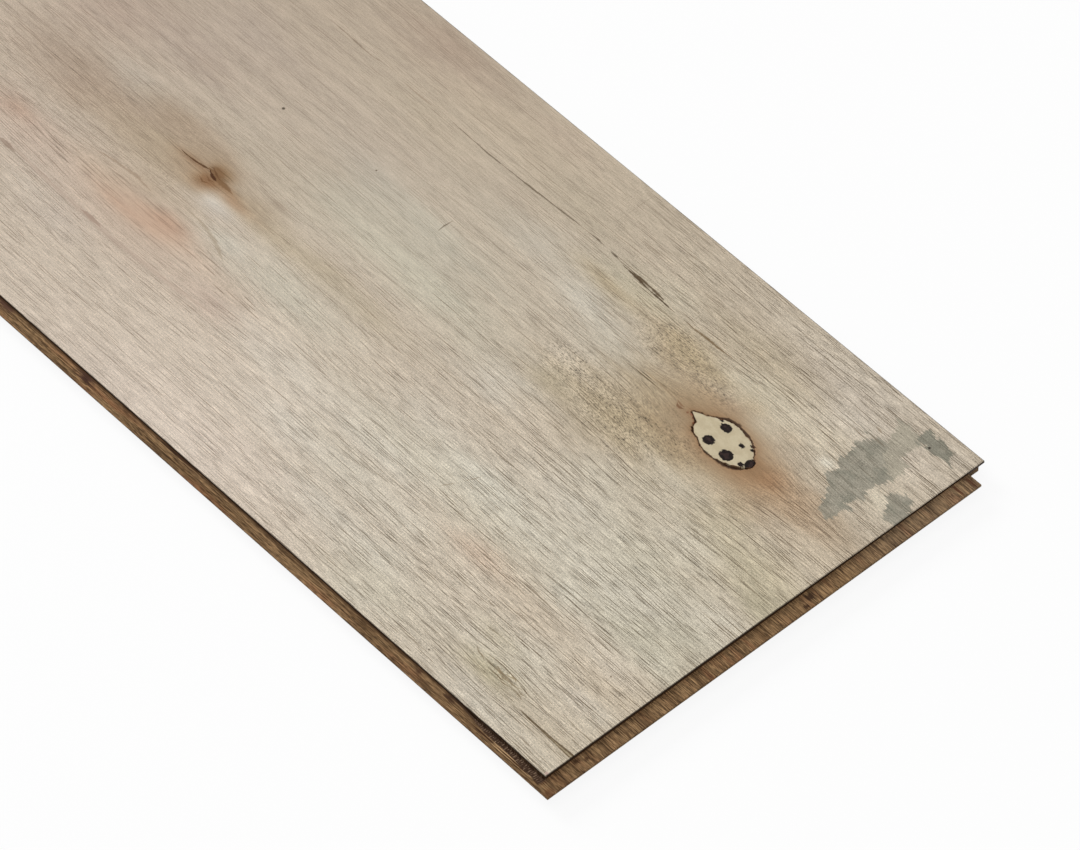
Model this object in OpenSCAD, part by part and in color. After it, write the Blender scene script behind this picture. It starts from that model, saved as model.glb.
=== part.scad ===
// Engineered hardwood flooring plank with tongue-and-groove edges.
//
// A pale face veneer on a five-ply brown core. One long edge and one end carry a tongue, the
// other long edge and the other end carry the groove that takes the tongue of the next plank.
// +X runs along the plank to the tongue end, +Y across it to the groove edge, +Z out of the
// face. The origin is at the middle of the underside, tongues counted in.

/* [Plank] */
// Length of the face
face_length = 1220; // [300:10:2400]
// Width of the face
face_width = 190.5; // [90:0.5:300]
// Thickness of the face veneer
veneer_t = 1.2; // [0.6:0.1:4]
// Thickness of each ply of the core
ply_t = 1.16; // [0.8:0.02:3]
// Bevel along the four edges of the face
face_bevel = 0.3; // [0:0.1:0.5]

/* [Tongue] */
// How far the tongue stands out of the long edge
side_tongue = 4.8; // [3:0.1:8]
// How far the tongue stands out of the end
end_tongue = 6; // [3:0.1:8]
// Thickness of both tongues, measured down from the underside of the veneer
tongue_t = 2.2; // [1.4:0.1:6]
// Radius on the lower edge of the tongues' tips, limited by the tongues' thickness
tongue_nose = 1.9; // [0.3:0.1:2.5]
// Rounding of the upper edge of the tongues' tips
tongue_arris = 0.2; // [0.1:0.1:0.3]
// How far the core is cut back below the tongues
under_setback = 2.1; // [0:0.1:4]

/* [Groove] */
// Spare depth of each groove beyond the longer tongue
groove_spare = 1.1; // [0.3:0.1:2]
// Play between the floor of the groove and the tongue of the next plank
groove_play = 0.2; // [0.1:0.05:0.4]
// How far the lower lip stops short of the edge of the face
lower_lip_short = 0.3; // [0:0.1:2]
// Lead-in bevel on the lower lip
lip_lead = 0.5; // [0.2:0.1:0.8]

/* [Filled knot] */
// Distance of the knot's middle from the tongue end of the face
knot_from_end = 62; // [40:1:200]
// Distance of the knot's middle from the tongue edge of the face
knot_from_side = 133.5; // [20:0.5:160]
// Reach of the knot from its middle toward the tongue end
knot_blunt = 13.3; // [6:0.1:20]
// Reach of the knot from its middle to its pointed tip
knot_point = 16.4; // [6:0.1:24]
// Half of the knot's width
knot_half_w = 7; // [3:0.1:12]

/* [Torn splinter] */
// Length of the splinter missing from the top ply beside the tongue corner
splinter_length = 40; // [10:1:80]
// Width of the missing splinter where it ends
splinter_width = 3.5; // [1:0.1:4]

/* [Hidden] */
$fn = 48;

ply_count = 5;
core_t = ply_count * ply_t;
plank_t = core_t + veneer_t;

// Outer size of the blank, tongues included
blank_length = face_length + end_tongue;
blank_width = face_width + side_tongue;

// Edges of the face: the groove end and edge are outermost, the tongues stand out past the others
end_groove_x = -blank_length / 2;
end_tongue_x = end_groove_x + face_length;
side_tongue_y = side_tongue - blank_width / 2;
side_groove_y = blank_width / 2;

// Heights of the joint, measured from the underside
tongue_top = core_t;
tongue_floor = tongue_top - tongue_t;
groove_floor = tongue_floor - groove_play;
groove_depth = max(side_tongue, end_tongue) + groove_spare;

// Radius of the tips' lower edge, with a narrow flat left above it
nose = min(tongue_nose, tongue_t - tongue_arris - 0.1);

// How far a cutter runs past what it cuts
over = 1;

// Colours
face_colour = [0.80, 0.76, 0.68];
filler_colour = [0.89, 0.84, 0.70];
long_grain_colour = [0.47, 0.36, 0.25];
cross_grain_colour = [0.36, 0.27, 0.19];

// Points of a quarter circle about c, from angle a by 90 degrees, turning clockwise
function quarter(c, r, a, steps = 6) =
    [for (i = [0:steps]) c + r * [cos(a - i * 90 / steps), sin(a - i * 90 / steps)]];

// Outline of the knot: an oval whose far half narrows to a point
function knot_outline(steps = 48) = [
    for (i = [0:steps - 1])
        let (a = 360 * i / steps, far = cos(a) < 0)
        [(far ? knot_point : knot_blunt) * cos(a),
         knot_half_w * sin(a) * (far ? 1 + 0.4 * cos(a) : 1)]];

// Waste round a tongue, seen in section: the first axis points out of the plank from the edge
// of the face, the second one up
module tongue_waste(reach) {
    tip = reach + over;
    polygon(concat(
        [[reach - tongue_arris - over, tongue_top + over], [reach, tongue_top - tongue_arris]],
        quarter([reach - nose, tongue_floor + nose], nose, 0),
        [[-under_setback, tongue_floor], [-under_setback, -over],
         [tip, -over], [tip, tongue_top + over]]));
}

// Waste of a groove and in front of its lower lip, in the same section axes
module groove_waste() {
    lip_end = -lower_lip_short;
    polygon([
        [over, tongue_top + over], [-groove_depth, tongue_top + over],
        [-groove_depth, groove_floor], [lip_end - lip_lead, groove_floor],
        [lip_end, groove_floor - lip_lead], [lip_end, -over], [over, -over]]);
}

// Runs a section along the whole length; the section's first axis becomes +Y
module run_along_length() {
    translate([end_groove_x - over, 0, 0])
        rotate([90, 0, 90])
            linear_extrude(blank_length + 2 * over) children();
}

// Runs a section across the whole width; the section's first axis becomes +X
module run_across_width() {
    translate([0, side_groove_y + over, 0])
        rotate([90, 0, 0])
            linear_extrude(blank_width + 2 * over) children();
}

// Everything that the cutters take off the core's four edges
module core_waste() {
    run_along_length() {
        translate([side_tongue_y, 0]) mirror([1, 0]) tongue_waste(side_tongue);
        translate([side_groove_y, 0]) groove_waste();
    }
    run_across_width() {
        translate([end_tongue_x, 0]) tongue_waste(end_tongue);
        translate([end_groove_x, 0]) mirror([1, 0]) groove_waste();
    }
}

// One ply of the core, counted from the underside, with its share of the edge profiles
module ply(level) {
    difference() {
        translate([end_groove_x, -blank_width / 2, level * ply_t])
            cube([blank_length, blank_width, ply_t]);
        core_waste();
    }
}

// Wedge where a splinter is missing, beside the corner of the two tongues
module splinter() {
    translate([end_tongue_x, side_tongue_y, tongue_top - ply_t - over])
        linear_extrude(ply_t + 2 * over)
            polygon([[0, 0], [-splinter_length, 0], [0, -splinter_width]]);
}

// Bevel waste in section, on an edge of the face at the origin with the waste outside it
module bevel_waste() {
    polygon([[-face_bevel - over, plank_t + over], [over, plank_t - face_bevel - over],
             [over, plank_t + over]]);
}

// The void of the knot, cut through the veneer
module knot_void(z, t) {
    translate([end_tongue_x - knot_from_end, side_tongue_y + knot_from_side, z])
        linear_extrude(t) polygon(knot_outline());
}

module face_veneer() {
    color(face_colour)
        difference() {
            translate([end_groove_x, side_tongue_y, core_t])
                cube([face_length, face_width, veneer_t]);
            run_along_length() {
                translate([side_tongue_y, 0]) mirror([1, 0]) bevel_waste();
                translate([side_groove_y, 0]) bevel_waste();
            }
            run_across_width() {
                translate([end_tongue_x, 0]) bevel_waste();
                translate([end_groove_x, 0]) mirror([1, 0]) bevel_waste();
            }
            knot_void(core_t - over, veneer_t + 2 * over);
        }
}

module knot_filler() {
    color(filler_colour) knot_void(core_t, veneer_t);
}

module top_ply() {
    color(long_grain_colour)
        difference() {
            ply(4);
            splinter();
        }
}

module upper_cross_ply() {
    color(cross_grain_colour) ply(3);
}

module middle_ply() {
    color(long_grain_colour) ply(2);
}

module lower_cross_ply() {
    color(cross_grain_colour) ply(1);
}

module back_ply() {
    color(long_grain_colour) ply(0);
}

face_veneer();
knot_filler();
top_ply();
upper_cross_ply();
middle_ply();
lower_cross_ply();
back_ply();
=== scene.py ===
"""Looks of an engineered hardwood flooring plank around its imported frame.

The pale face veneer, the filled knot and the brown plies get their finish here. Places on the
plank are given as d, the distance from the tongue end of the face, and s, the distance from its
tongue edge, both in millimetres. Meshes and the camera are in metres, in the frame's own axes.
"""

import logging
import math
from dataclasses import dataclass
from enum import Enum
from typing import Callable, Sequence, Union

import bpy
import numpy as np
from mathutils import Matrix, Vector

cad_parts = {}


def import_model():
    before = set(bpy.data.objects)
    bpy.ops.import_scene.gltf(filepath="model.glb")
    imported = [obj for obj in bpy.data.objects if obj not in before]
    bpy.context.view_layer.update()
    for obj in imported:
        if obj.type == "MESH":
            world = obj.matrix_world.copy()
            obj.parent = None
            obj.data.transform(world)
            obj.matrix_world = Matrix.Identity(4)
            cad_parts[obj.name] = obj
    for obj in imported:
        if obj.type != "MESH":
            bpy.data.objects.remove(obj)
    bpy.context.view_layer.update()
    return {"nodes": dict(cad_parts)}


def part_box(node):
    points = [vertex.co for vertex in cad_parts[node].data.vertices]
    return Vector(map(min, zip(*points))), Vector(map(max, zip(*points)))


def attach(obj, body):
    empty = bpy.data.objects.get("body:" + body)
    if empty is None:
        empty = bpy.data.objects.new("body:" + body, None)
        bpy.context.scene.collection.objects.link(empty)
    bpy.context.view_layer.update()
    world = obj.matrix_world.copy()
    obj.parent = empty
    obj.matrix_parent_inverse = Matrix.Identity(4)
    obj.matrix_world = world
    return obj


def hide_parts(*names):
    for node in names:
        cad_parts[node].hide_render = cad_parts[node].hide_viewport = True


LOG = logging.getLogger("plank")
MM = 0.001
SEED = 41
SHARP_DEGREES = 35

Colour = tuple[float, float, float]
Number = Union[float, "Wire"]
Array = np.ndarray
Pairs = tuple[tuple[float, float], ...]
Paint = Union[Colour, bpy.types.NodeSocket]


# ---------------------------------------------------------------------------------------------
# Arithmetic on arrays


def linear(display: Union[Colour, Array]) -> Array:
    """Turns display values from 0 to 255 into linear light."""
    share = np.clip(display, 0, 255) / 255
    return np.where(share <= 0.04045, share / 12.92, ((share + 0.055) / 1.055) ** 2.4)


def turned(colours: Array, weight: Array, target: Colour) -> Array:
    """Moves each row of colours towards a target by its weight."""
    return colours + weight[..., None] * (np.array(target) - colours)


def smooth(values: Array, low: float, high: float) -> Array:
    """Rises smoothly from 0 at low to 1 at high, as 3t^2 - 2t^3."""
    t = np.clip((values - low) / (high - low), 0, 1)
    return t * t * (3 - 2 * t)


def near(d: Array, s: Array, middle: tuple[float, float], along: float, across: float) -> Array:
    """1 at a middle, fading with distance as exp(-r^2), to a third at along or across from it."""
    return np.exp(-(((d - middle[0]) / along) ** 2) - ((s - middle[1]) / across) ** 2)


class ValueNoise:
    """Smooth random values on a lattice that repeats every 64 cells."""

    CELLS = 64

    def __init__(self, seed: int) -> None:
        """Draws the lattice.

        Args:
            seed: number that fixes the values.
        """
        self.lattice = np.random.default_rng(seed).random((self.CELLS, self.CELLS))

    def __call__(self, x: Array, y: Array, octaves: int = 2) -> Array:
        """Adds octaves of the lattice, each twice as fine and half as strong.

        Args:
            x: first coordinate, in cells.
            y: second coordinate, in cells.
            octaves: how many are added.

        Returns:
            Values centred on 0, between about -1 and 1.
        """
        total, weight = np.zeros(np.broadcast(x, y).shape), 0.0
        for octave in range(octaves):
            scale = 2.0**octave
            total = total + self._cell_blend(x * scale, y * scale) / scale
            weight += 1 / scale
        return 2 * total / weight - 1

    def _cell_blend(self, x: Array, y: Array) -> Array:
        """Blends the four lattice values round each point with the weight 3t^2 - 2t^3.

        Args:
            x: first coordinate, in cells.
            y: second coordinate, in cells.

        Returns:
            Values from 0 to 1.
        """
        column, row = np.floor(x).astype(int), np.floor(y).astype(int)
        across, up = smooth(x - column, 0, 1), smooth(y - row, 0, 1)

        def at(i: int, j: int) -> Array:
            """The lattice value i columns and j rows on."""
            return self.lattice[(column + i) % self.CELLS, (row + j) % self.CELLS]

        low = at(0, 0) * (1 - across) + at(1, 0) * across
        high = at(0, 1) * (1 - across) + at(1, 1) * across
        return low * (1 - up) + high * up


def outline_distance(d: Array, s: Array, outline: Pairs) -> Array:
    """Distance to a closed outline of straight sides, negative inside.

    Each side gives the distance to its nearest point, and the least one counts. A point is
    inside when a line from it crosses the sides an odd number of times.

    Args:
        d: places along the plank.
        s: places across the plank.
        outline: corners of the outline as (d, s).

    Returns:
        Signed distance in millimetres, shaped as d and s.
    """
    nearest = np.full(d.shape, np.inf)
    inside = np.zeros(d.shape, dtype=bool)
    for (d0, s0), (d1, s1) in zip(outline, [*outline[1:], outline[0]]):
        run_d, run_s = d1 - d0, s1 - s0
        t = np.clip(((d - d0) * run_d + (s - s0) * run_s) / (run_d**2 + run_s**2), 0, 1)
        nearest = np.minimum(nearest, np.hypot(d - d0 - t * run_d, s - s0 - t * run_s))
        if s0 != s1:
            crosses = (s0 > s) != (s1 > s)
            inside ^= crosses & (d < d0 + (s - s0) * run_d / run_s)
    return np.where(inside, -nearest, nearest)


def spaced(stops: Pairs) -> Array:
    """Grid lines from stretches of even spacing.

    Args:
        stops: (start of a stretch, spacing in it); the last one is (end, 0).

    Returns:
        Rising places of the lines, with both ends in.
    """
    lines = []
    for (start, step), (end, _) in zip(stops, stops[1:]):
        lines.append(np.linspace(start, end, max(2, round((end - start) / step) + 1))[:-1])
    return np.append(np.concatenate(lines), stops[-1][0])


def new_mesh(name: str, points: Array, faces: Sequence[Array]) -> bpy.types.Object:
    """Puts points and faces into a mesh object at the origin.

    Args:
        name: the object's name.
        points: one row of x, y, z for each point, in metres.
        faces: arrays of point numbers; a 2-D array holds one face per row, a 1-D array one face.

    Returns:
        The new object, linked to the scene.
    """
    groups = [np.atleast_2d(group) for group in faces]
    corners = np.concatenate([group.ravel() for group in groups])
    counts = np.concatenate([np.full(len(group), group.shape[1]) for group in groups])
    mesh = bpy.data.meshes.new(name)
    mesh.vertices.add(len(points))
    mesh.vertices.foreach_set("co", np.ascontiguousarray(points, dtype=np.float32).ravel())
    mesh.loops.add(len(corners))
    mesh.loops.foreach_set("vertex_index", corners.astype(np.int32))
    mesh.polygons.add(len(counts))
    mesh.polygons.foreach_set("loop_start", (np.cumsum(counts) - counts).astype(np.int32))
    mesh.polygons.foreach_set("use_smooth", np.ones(len(counts), dtype=bool))
    mesh.update(calc_edges=True)
    mesh.validate()
    mesh.set_sharp_from_angle(angle=math.radians(SHARP_DEGREES))
    piece = bpy.data.objects.new(name, mesh)
    bpy.context.scene.collection.objects.link(piece)
    return piece


def store(piece: bpy.types.Object, name: str, values: Array) -> None:
    """Writes one vector or colour for each point into an attribute of a mesh.

    Args:
        piece: the mesh object.
        name: the attribute's name.
        values: one row for each point: three numbers for a vector, four for a colour.
    """
    kind, key = ("FLOAT_VECTOR", "vector") if values.shape[1] == 3 else ("FLOAT_COLOR", "color")
    layer = piece.data.attributes.new(name, kind, "POINT")
    layer.data.foreach_set(key, np.ascontiguousarray(values, dtype=np.float32).ravel())


# ---------------------------------------------------------------------------------------------
# Material graphs


def arithmetic(kind: str, swapped: bool = False) -> Callable[["Wire", "Number"], "Wire"]:
    """Makes a method that adds a Math node to a wire and a second value.

    Args:
        kind: the Math node's operation.
        swapped: whether the second value comes first in it.

    Returns:
        The method.
    """

    def apply(wire: "Wire", other: Number) -> "Wire":
        """Adds the node."""
        first, second = (other, wire) if swapped else (wire, other)
        return wire.graph.math(kind, first, second)

    return apply


@dataclass(frozen=True)
class Wire:
    """One number coming out of a node, with arithmetic that adds Math nodes.

    least gives the smaller of two, most the larger.
    """

    graph: "Graph"
    socket: bpy.types.NodeSocket

    __add__ = arithmetic("ADD")
    __radd__ = arithmetic("ADD", swapped=True)
    __sub__ = arithmetic("SUBTRACT")
    __rsub__ = arithmetic("SUBTRACT", swapped=True)
    __mul__ = arithmetic("MULTIPLY")
    __rmul__ = arithmetic("MULTIPLY", swapped=True)
    __truediv__ = arithmetic("DIVIDE")
    least = arithmetic("MINIMUM")
    most = arithmetic("MAXIMUM")

    def size(self) -> "Wire":
        """Absolute value."""
        return self.graph.math("ABSOLUTE", self)

    def of(self, low: float, high: float) -> "Wire":
        """Goes evenly from low to high as the wire goes from 0 to 1."""
        return self * (high - low) + low

    def step(self, low: float, high: float, top: float = 1.0) -> "Wire":
        """Goes smoothly from 0 at low to top at high; low may be the larger one."""
        return self.graph.smooth_step(self, low, high, top)


class Graph:
    """A node tree, and short calls that add nodes to it."""

    def __init__(self, tree: bpy.types.NodeTree) -> None:
        """Empties the tree.

        Args:
            tree: the nodes of a material or of the world.
        """
        self.tree = tree
        self.tree.nodes.clear()

    def node(self, kind: str, **settings: object) -> bpy.types.Node:
        """Adds a node and sets its properties.

        Args:
            kind: the node's type.
            settings: its properties by name.

        Returns:
            The node.
        """
        made = self.tree.nodes.new(kind)
        for key, value in settings.items():
            setattr(made, key, value)
        return made

    def link(self, source: bpy.types.NodeSocket, target: bpy.types.NodeSocket) -> None:
        """Joins two sockets."""
        self.tree.links.new(source, target)

    def feed(self, target: bpy.types.NodeSocket, value: Number) -> None:
        """Gives a socket a wire or a plain number.

        Args:
            target: the socket.
            value: what it gets.
        """
        if isinstance(value, Wire):
            self.link(value.socket, target)
        else:
            target.default_value = value

    def math(self, operation: str, first: Number, second: Number = 0.0) -> Wire:
        """Adds a Math node.

        Args:
            operation: what it does.
            first: its first value.
            second: its second value.

        Returns:
            What comes out of it.
        """
        made = self.node("ShaderNodeMath", operation=operation)
        self.feed(made.inputs[0], first)
        self.feed(made.inputs[1], second)
        return Wire(self, made.outputs[0])

    def smooth_step(self, value: Wire, low: float, high: float, top: float) -> Wire:
        """Adds a Map Range node that goes along 3t^2 - 2t^3.

        Args:
            value: what it reads.
            low: where the result is 0.
            high: where it is top; it may be under low.
            top: the most that comes out.

        Returns:
            The result, from 0 to top.
        """
        made = self.node("ShaderNodeMapRange", interpolation_type="SMOOTHSTEP")
        self.feed(made.inputs["Value"], value)
        rising = high > low
        made.inputs["From Min"].default_value = low if rising else high
        made.inputs["From Max"].default_value = high if rising else low
        made.inputs["To Min"].default_value = 0.0 if rising else top
        made.inputs["To Max"].default_value = top if rising else 0.0
        return Wire(self, made.outputs["Result"])

    def noise(self, x: Number, y: Number, z: Number | None = None, detail: float = 1.0,
              rough: float = 0.5) -> Wire:
        """Adds a Noise Texture whose cells are one unit wide.

        Args:
            x: first coordinate, in cells.
            y: second coordinate, in cells.
            z: third coordinate, in cells, or None for flat noise.
            detail: octaves beyond the first.
            rough: strength of each octave against the one before.

        Returns:
            Values about 0.5, mostly between 0.3 and 0.7.
        """
        place = self.node("ShaderNodeCombineXYZ")
        for socket, value in zip(place.inputs, (x, y, 0.0 if z is None else z)):
            self.feed(socket, value)
        made = self.node("ShaderNodeTexNoise", noise_dimensions="2D" if z is None else "3D")
        self.link(place.outputs[0], made.inputs["Vector"])
        made.inputs["Scale"].default_value = 1.0
        made.inputs["Detail"].default_value = detail
        made.inputs["Roughness"].default_value = rough
        return Wire(self, made.outputs["Fac"])

    def vector(self, name: str) -> tuple[Wire, Wire, Wire]:
        """Reads a vector attribute as three numbers."""
        return self.split(self.node("ShaderNodeAttribute", attribute_name=name).outputs["Vector"])

    def place(self) -> tuple[Wire, Wire, Wire]:
        """Reads the object coordinates as three numbers, in metres."""
        return self.split(self.node("ShaderNodeTexCoord").outputs["Object"])

    def split(self, socket: bpy.types.NodeSocket) -> tuple[Wire, Wire, Wire]:
        """Takes a vector apart.

        Args:
            socket: where the vector comes out.

        Returns:
            Its three numbers.
        """
        made = self.node("ShaderNodeSeparateXYZ")
        self.link(socket, made.inputs[0])
        return tuple(Wire(self, out) for out in made.outputs)

    def colour(self, name: str) -> bpy.types.NodeSocket:
        """Reads a colour attribute."""
        return self.node("ShaderNodeAttribute", attribute_name=name).outputs["Color"]

    def plain_colour(self, display: Colour) -> bpy.types.NodeSocket:
        """Gives one colour everywhere.

        Args:
            display: the colour as display values.

        Returns:
            The colour's socket.
        """
        made = self.node("ShaderNodeRGB").outputs[0]
        made.default_value = (*linear(display), 1.0)
        return made

    def blend(self, amount: Number, first: Paint, second: Paint,
              mode: str = "MIX") -> bpy.types.NodeSocket:
        """Adds a Mix node for two colours.

        Args:
            amount: 0 for the first colour, 1 for the second.
            first: a colour socket, or display values.
            second: a colour socket, or display values.
            mode: the blend mode.

        Returns:
            The mixed colour's socket.
        """
        made = self.node("ShaderNodeMix", data_type="RGBA", blend_type=mode)
        self.feed(made.inputs[0], amount)
        for socket, value in ((made.inputs[6], first), (made.inputs[7], second)):
            if isinstance(value, tuple):
                socket.default_value = (*linear(value), 1.0)
            else:
                self.link(value, socket)
        return made.outputs[2]

    def shade(self, colour: bpy.types.NodeSocket, gain: Wire) -> bpy.types.NodeSocket:
        """Multiplies a colour by a number.

        Args:
            colour: the colour's socket.
            gain: the number.

        Returns:
            The new colour's socket.
        """
        made = self.node("ShaderNodeVectorMath", operation="SCALE")
        self.link(colour, made.inputs[0])
        self.feed(made.inputs["Scale"], gain)
        return made.outputs[0]

    def hairlines(self, u: Wire, v: Wire, apart: float, along: float, half: float) -> Wire:
        """Thin lines that run with the grain in even rows, each coming and going along its row.

        Args:
            u: place along the grain.
            v: place across the grain.
            apart: distance from row to row, in millimetres.
            along: length over which a line comes and goes, in millimetres.
            half: half width of a line, in millimetres.

        Returns:
            1 in the middle of a line, 0 off it.
        """
        row = self.math("FLOOR", v / apart)
        off = (v / apart - row - 0.5).size()
        level = self.noise(u / along + row * 3.7, row * 5.3, detail=1)
        return off.step(half / apart, half / apart * 0.3) * level.step(0.44, 0.68)

    def curve(self, share: Wire, places: Sequence[float], heights: Sequence[float]) -> Wire:
        """Adds a Float Curve that runs straight from knot to knot and stays level beyond them.

        Args:
            share: where on the curve, 0 at its start and 1 at its end.
            places: the knots' places, as shares.
            heights: the knots' heights.

        Returns:
            The height at the place.
        """
        low, span = min(heights), max(heights) - min(heights) or 1.0
        made = self.node("ShaderNodeFloatCurve")
        made.mapping.extend = "HORIZONTAL"
        line = made.mapping.curves[0]
        while len(line.points) < len(places):
            line.points.new(0.5, 0.5)
        for point, place, height in zip(line.points, places, heights):
            point.location = (place, (height - low) / span)
            point.handle_type = "VECTOR"
        made.mapping.update()
        self.feed(made.inputs["Value"], share)
        risen = Wire(self, made.outputs[0]) * span
        return risen + low if low else risen

    def away(self, d: Wire, s: Wire, dot: "Dot") -> Wire:
        """Distance from a dot's middle, in units of its radius.

        Args:
            d: place along the plank.
            s: place across the plank.
            dot: the dot.

        Returns:
            0 in its middle, 1 at its edge, and more outside.
        """
        place = self.node("ShaderNodeCombineXYZ")
        self.feed(place.inputs[0], d - dot.d)
        self.feed(place.inputs[1], (s - dot.s) * dot.squeeze)
        made = self.node("ShaderNodeVectorMath", operation="LENGTH")
        self.link(place.outputs[0], made.inputs[0])
        return Wire(self, made.outputs["Value"]) / dot.radius

    def seen(self) -> Wire:
        """Tells what the camera sees from what lights the scene.

        Returns:
            1 for the camera's own rays, straight, in a gloss or through glass, 0 for others.
        """
        rays = self.node("ShaderNodeLightPath").outputs
        camera, gloss, through = (Wire(self, rays[f"Is {kind} Ray"])
                                  for kind in ("Camera", "Glossy", "Transmission"))
        return camera.most(gloss).most(through)


class Surface(Graph):
    """The node tree of one material: colours laid over each other on a Principled shader.

    In the materials a place divided by a number is a place in noise cells, and that number is
    the size of a cell in millimetres. Widths and distances are in millimetres too.
    """

    def __init__(self, name: str, roughness: float, specular: float) -> None:
        """Starts the material.

        Args:
            name: the material's name.
            roughness: the shader's roughness.
            specular: the shader's specular level.
        """
        self.material = bpy.data.materials.new(name)
        self.material.use_nodes = True
        super().__init__(self.material.node_tree)
        self.shader = self.node("ShaderNodeBsdfPrincipled")
        self.shader.inputs["Roughness"].default_value = roughness
        self.shader.inputs["Specular IOR Level"].default_value = specular
        self.output = self.node("ShaderNodeOutputMaterial")
        self.link(self.shader.outputs["BSDF"], self.output.inputs["Surface"])
        self.laid: bpy.types.NodeSocket | None = None

    def over(self, amount: Number, colour: Paint, mode: str = "MIX") -> None:
        """Lays a colour over what is laid so far: 0 leaves that, 1 hides it."""
        self.laid = self.blend(amount, self.laid, colour, mode)

    def connect(self, height: Wire, depth_mm: float) -> None:
        """Connects what is laid, and a bump.

        Args:
            height: height of the surface, mostly from 0 to 1.
            depth_mm: what a height of 1 means, in millimetres.
        """
        self.link(self.laid, self.shader.inputs["Base Color"])
        bump = self.node("ShaderNodeBump")
        bump.inputs["Strength"].default_value = 1.0
        bump.inputs["Distance"].default_value = depth_mm * MM
        self.feed(bump.inputs["Height"], height)
        self.link(bump.outputs["Normal"], self.shader.inputs["Normal"])


# ---------------------------------------------------------------------------------------------
# What grows in the wood


@dataclass(frozen=True)
class Tone:
    """A soft patch of another colour on the face.

    d, s: its middle. along, across: where it has faded to a third. colour: display values.
    strength: how far the middle turns to the colour.
    """

    d: float
    s: float
    along: float
    across: float
    colour: Colour
    strength: float


@dataclass(frozen=True)
class Swirl:
    """A place that the grain flows round.

    d, s: its middle. core: how far the grain is pushed aside. along, across: where the push has
    faded to a third.
    """

    d: float
    s: float
    core: float
    along: float
    across: float


class Run(Enum):
    """Which way a line on the face runs."""

    ALONG = "along"
    ACROSS = "across"


@dataclass(frozen=True)
class Line:
    """A crack, a dark vein or a scratch.

    path: (place along the run, place across it, half width) in millimetres. colour: display
    values. strength: how dark its middle is. run: which way it runs.
    """

    path: tuple[tuple[float, float, float], ...]
    colour: Colour
    strength: float
    run: Run = Run.ALONG


@dataclass(frozen=True)
class Dot:
    """A pin knot or speck.

    d, s: its middle. radius: its size along the plank. colour: display values. squeeze: how many
    times shorter it is across the plank.
    """

    d: float
    s: float
    radius: float
    colour: Colour
    squeeze: float = 1.0


# Tones along the two long edges at three places along the plank, blended over its width.
TONE_PLACES = (0, 200, 360)
TONGUE_EDGE_TONES = ((193, 181, 161), (205, 191, 175), (187, 173, 156))
GROOVE_EDGE_TONES = ((185, 172, 153), (182, 168, 148), (168, 152, 135))
EDGES_APART = 190

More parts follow.
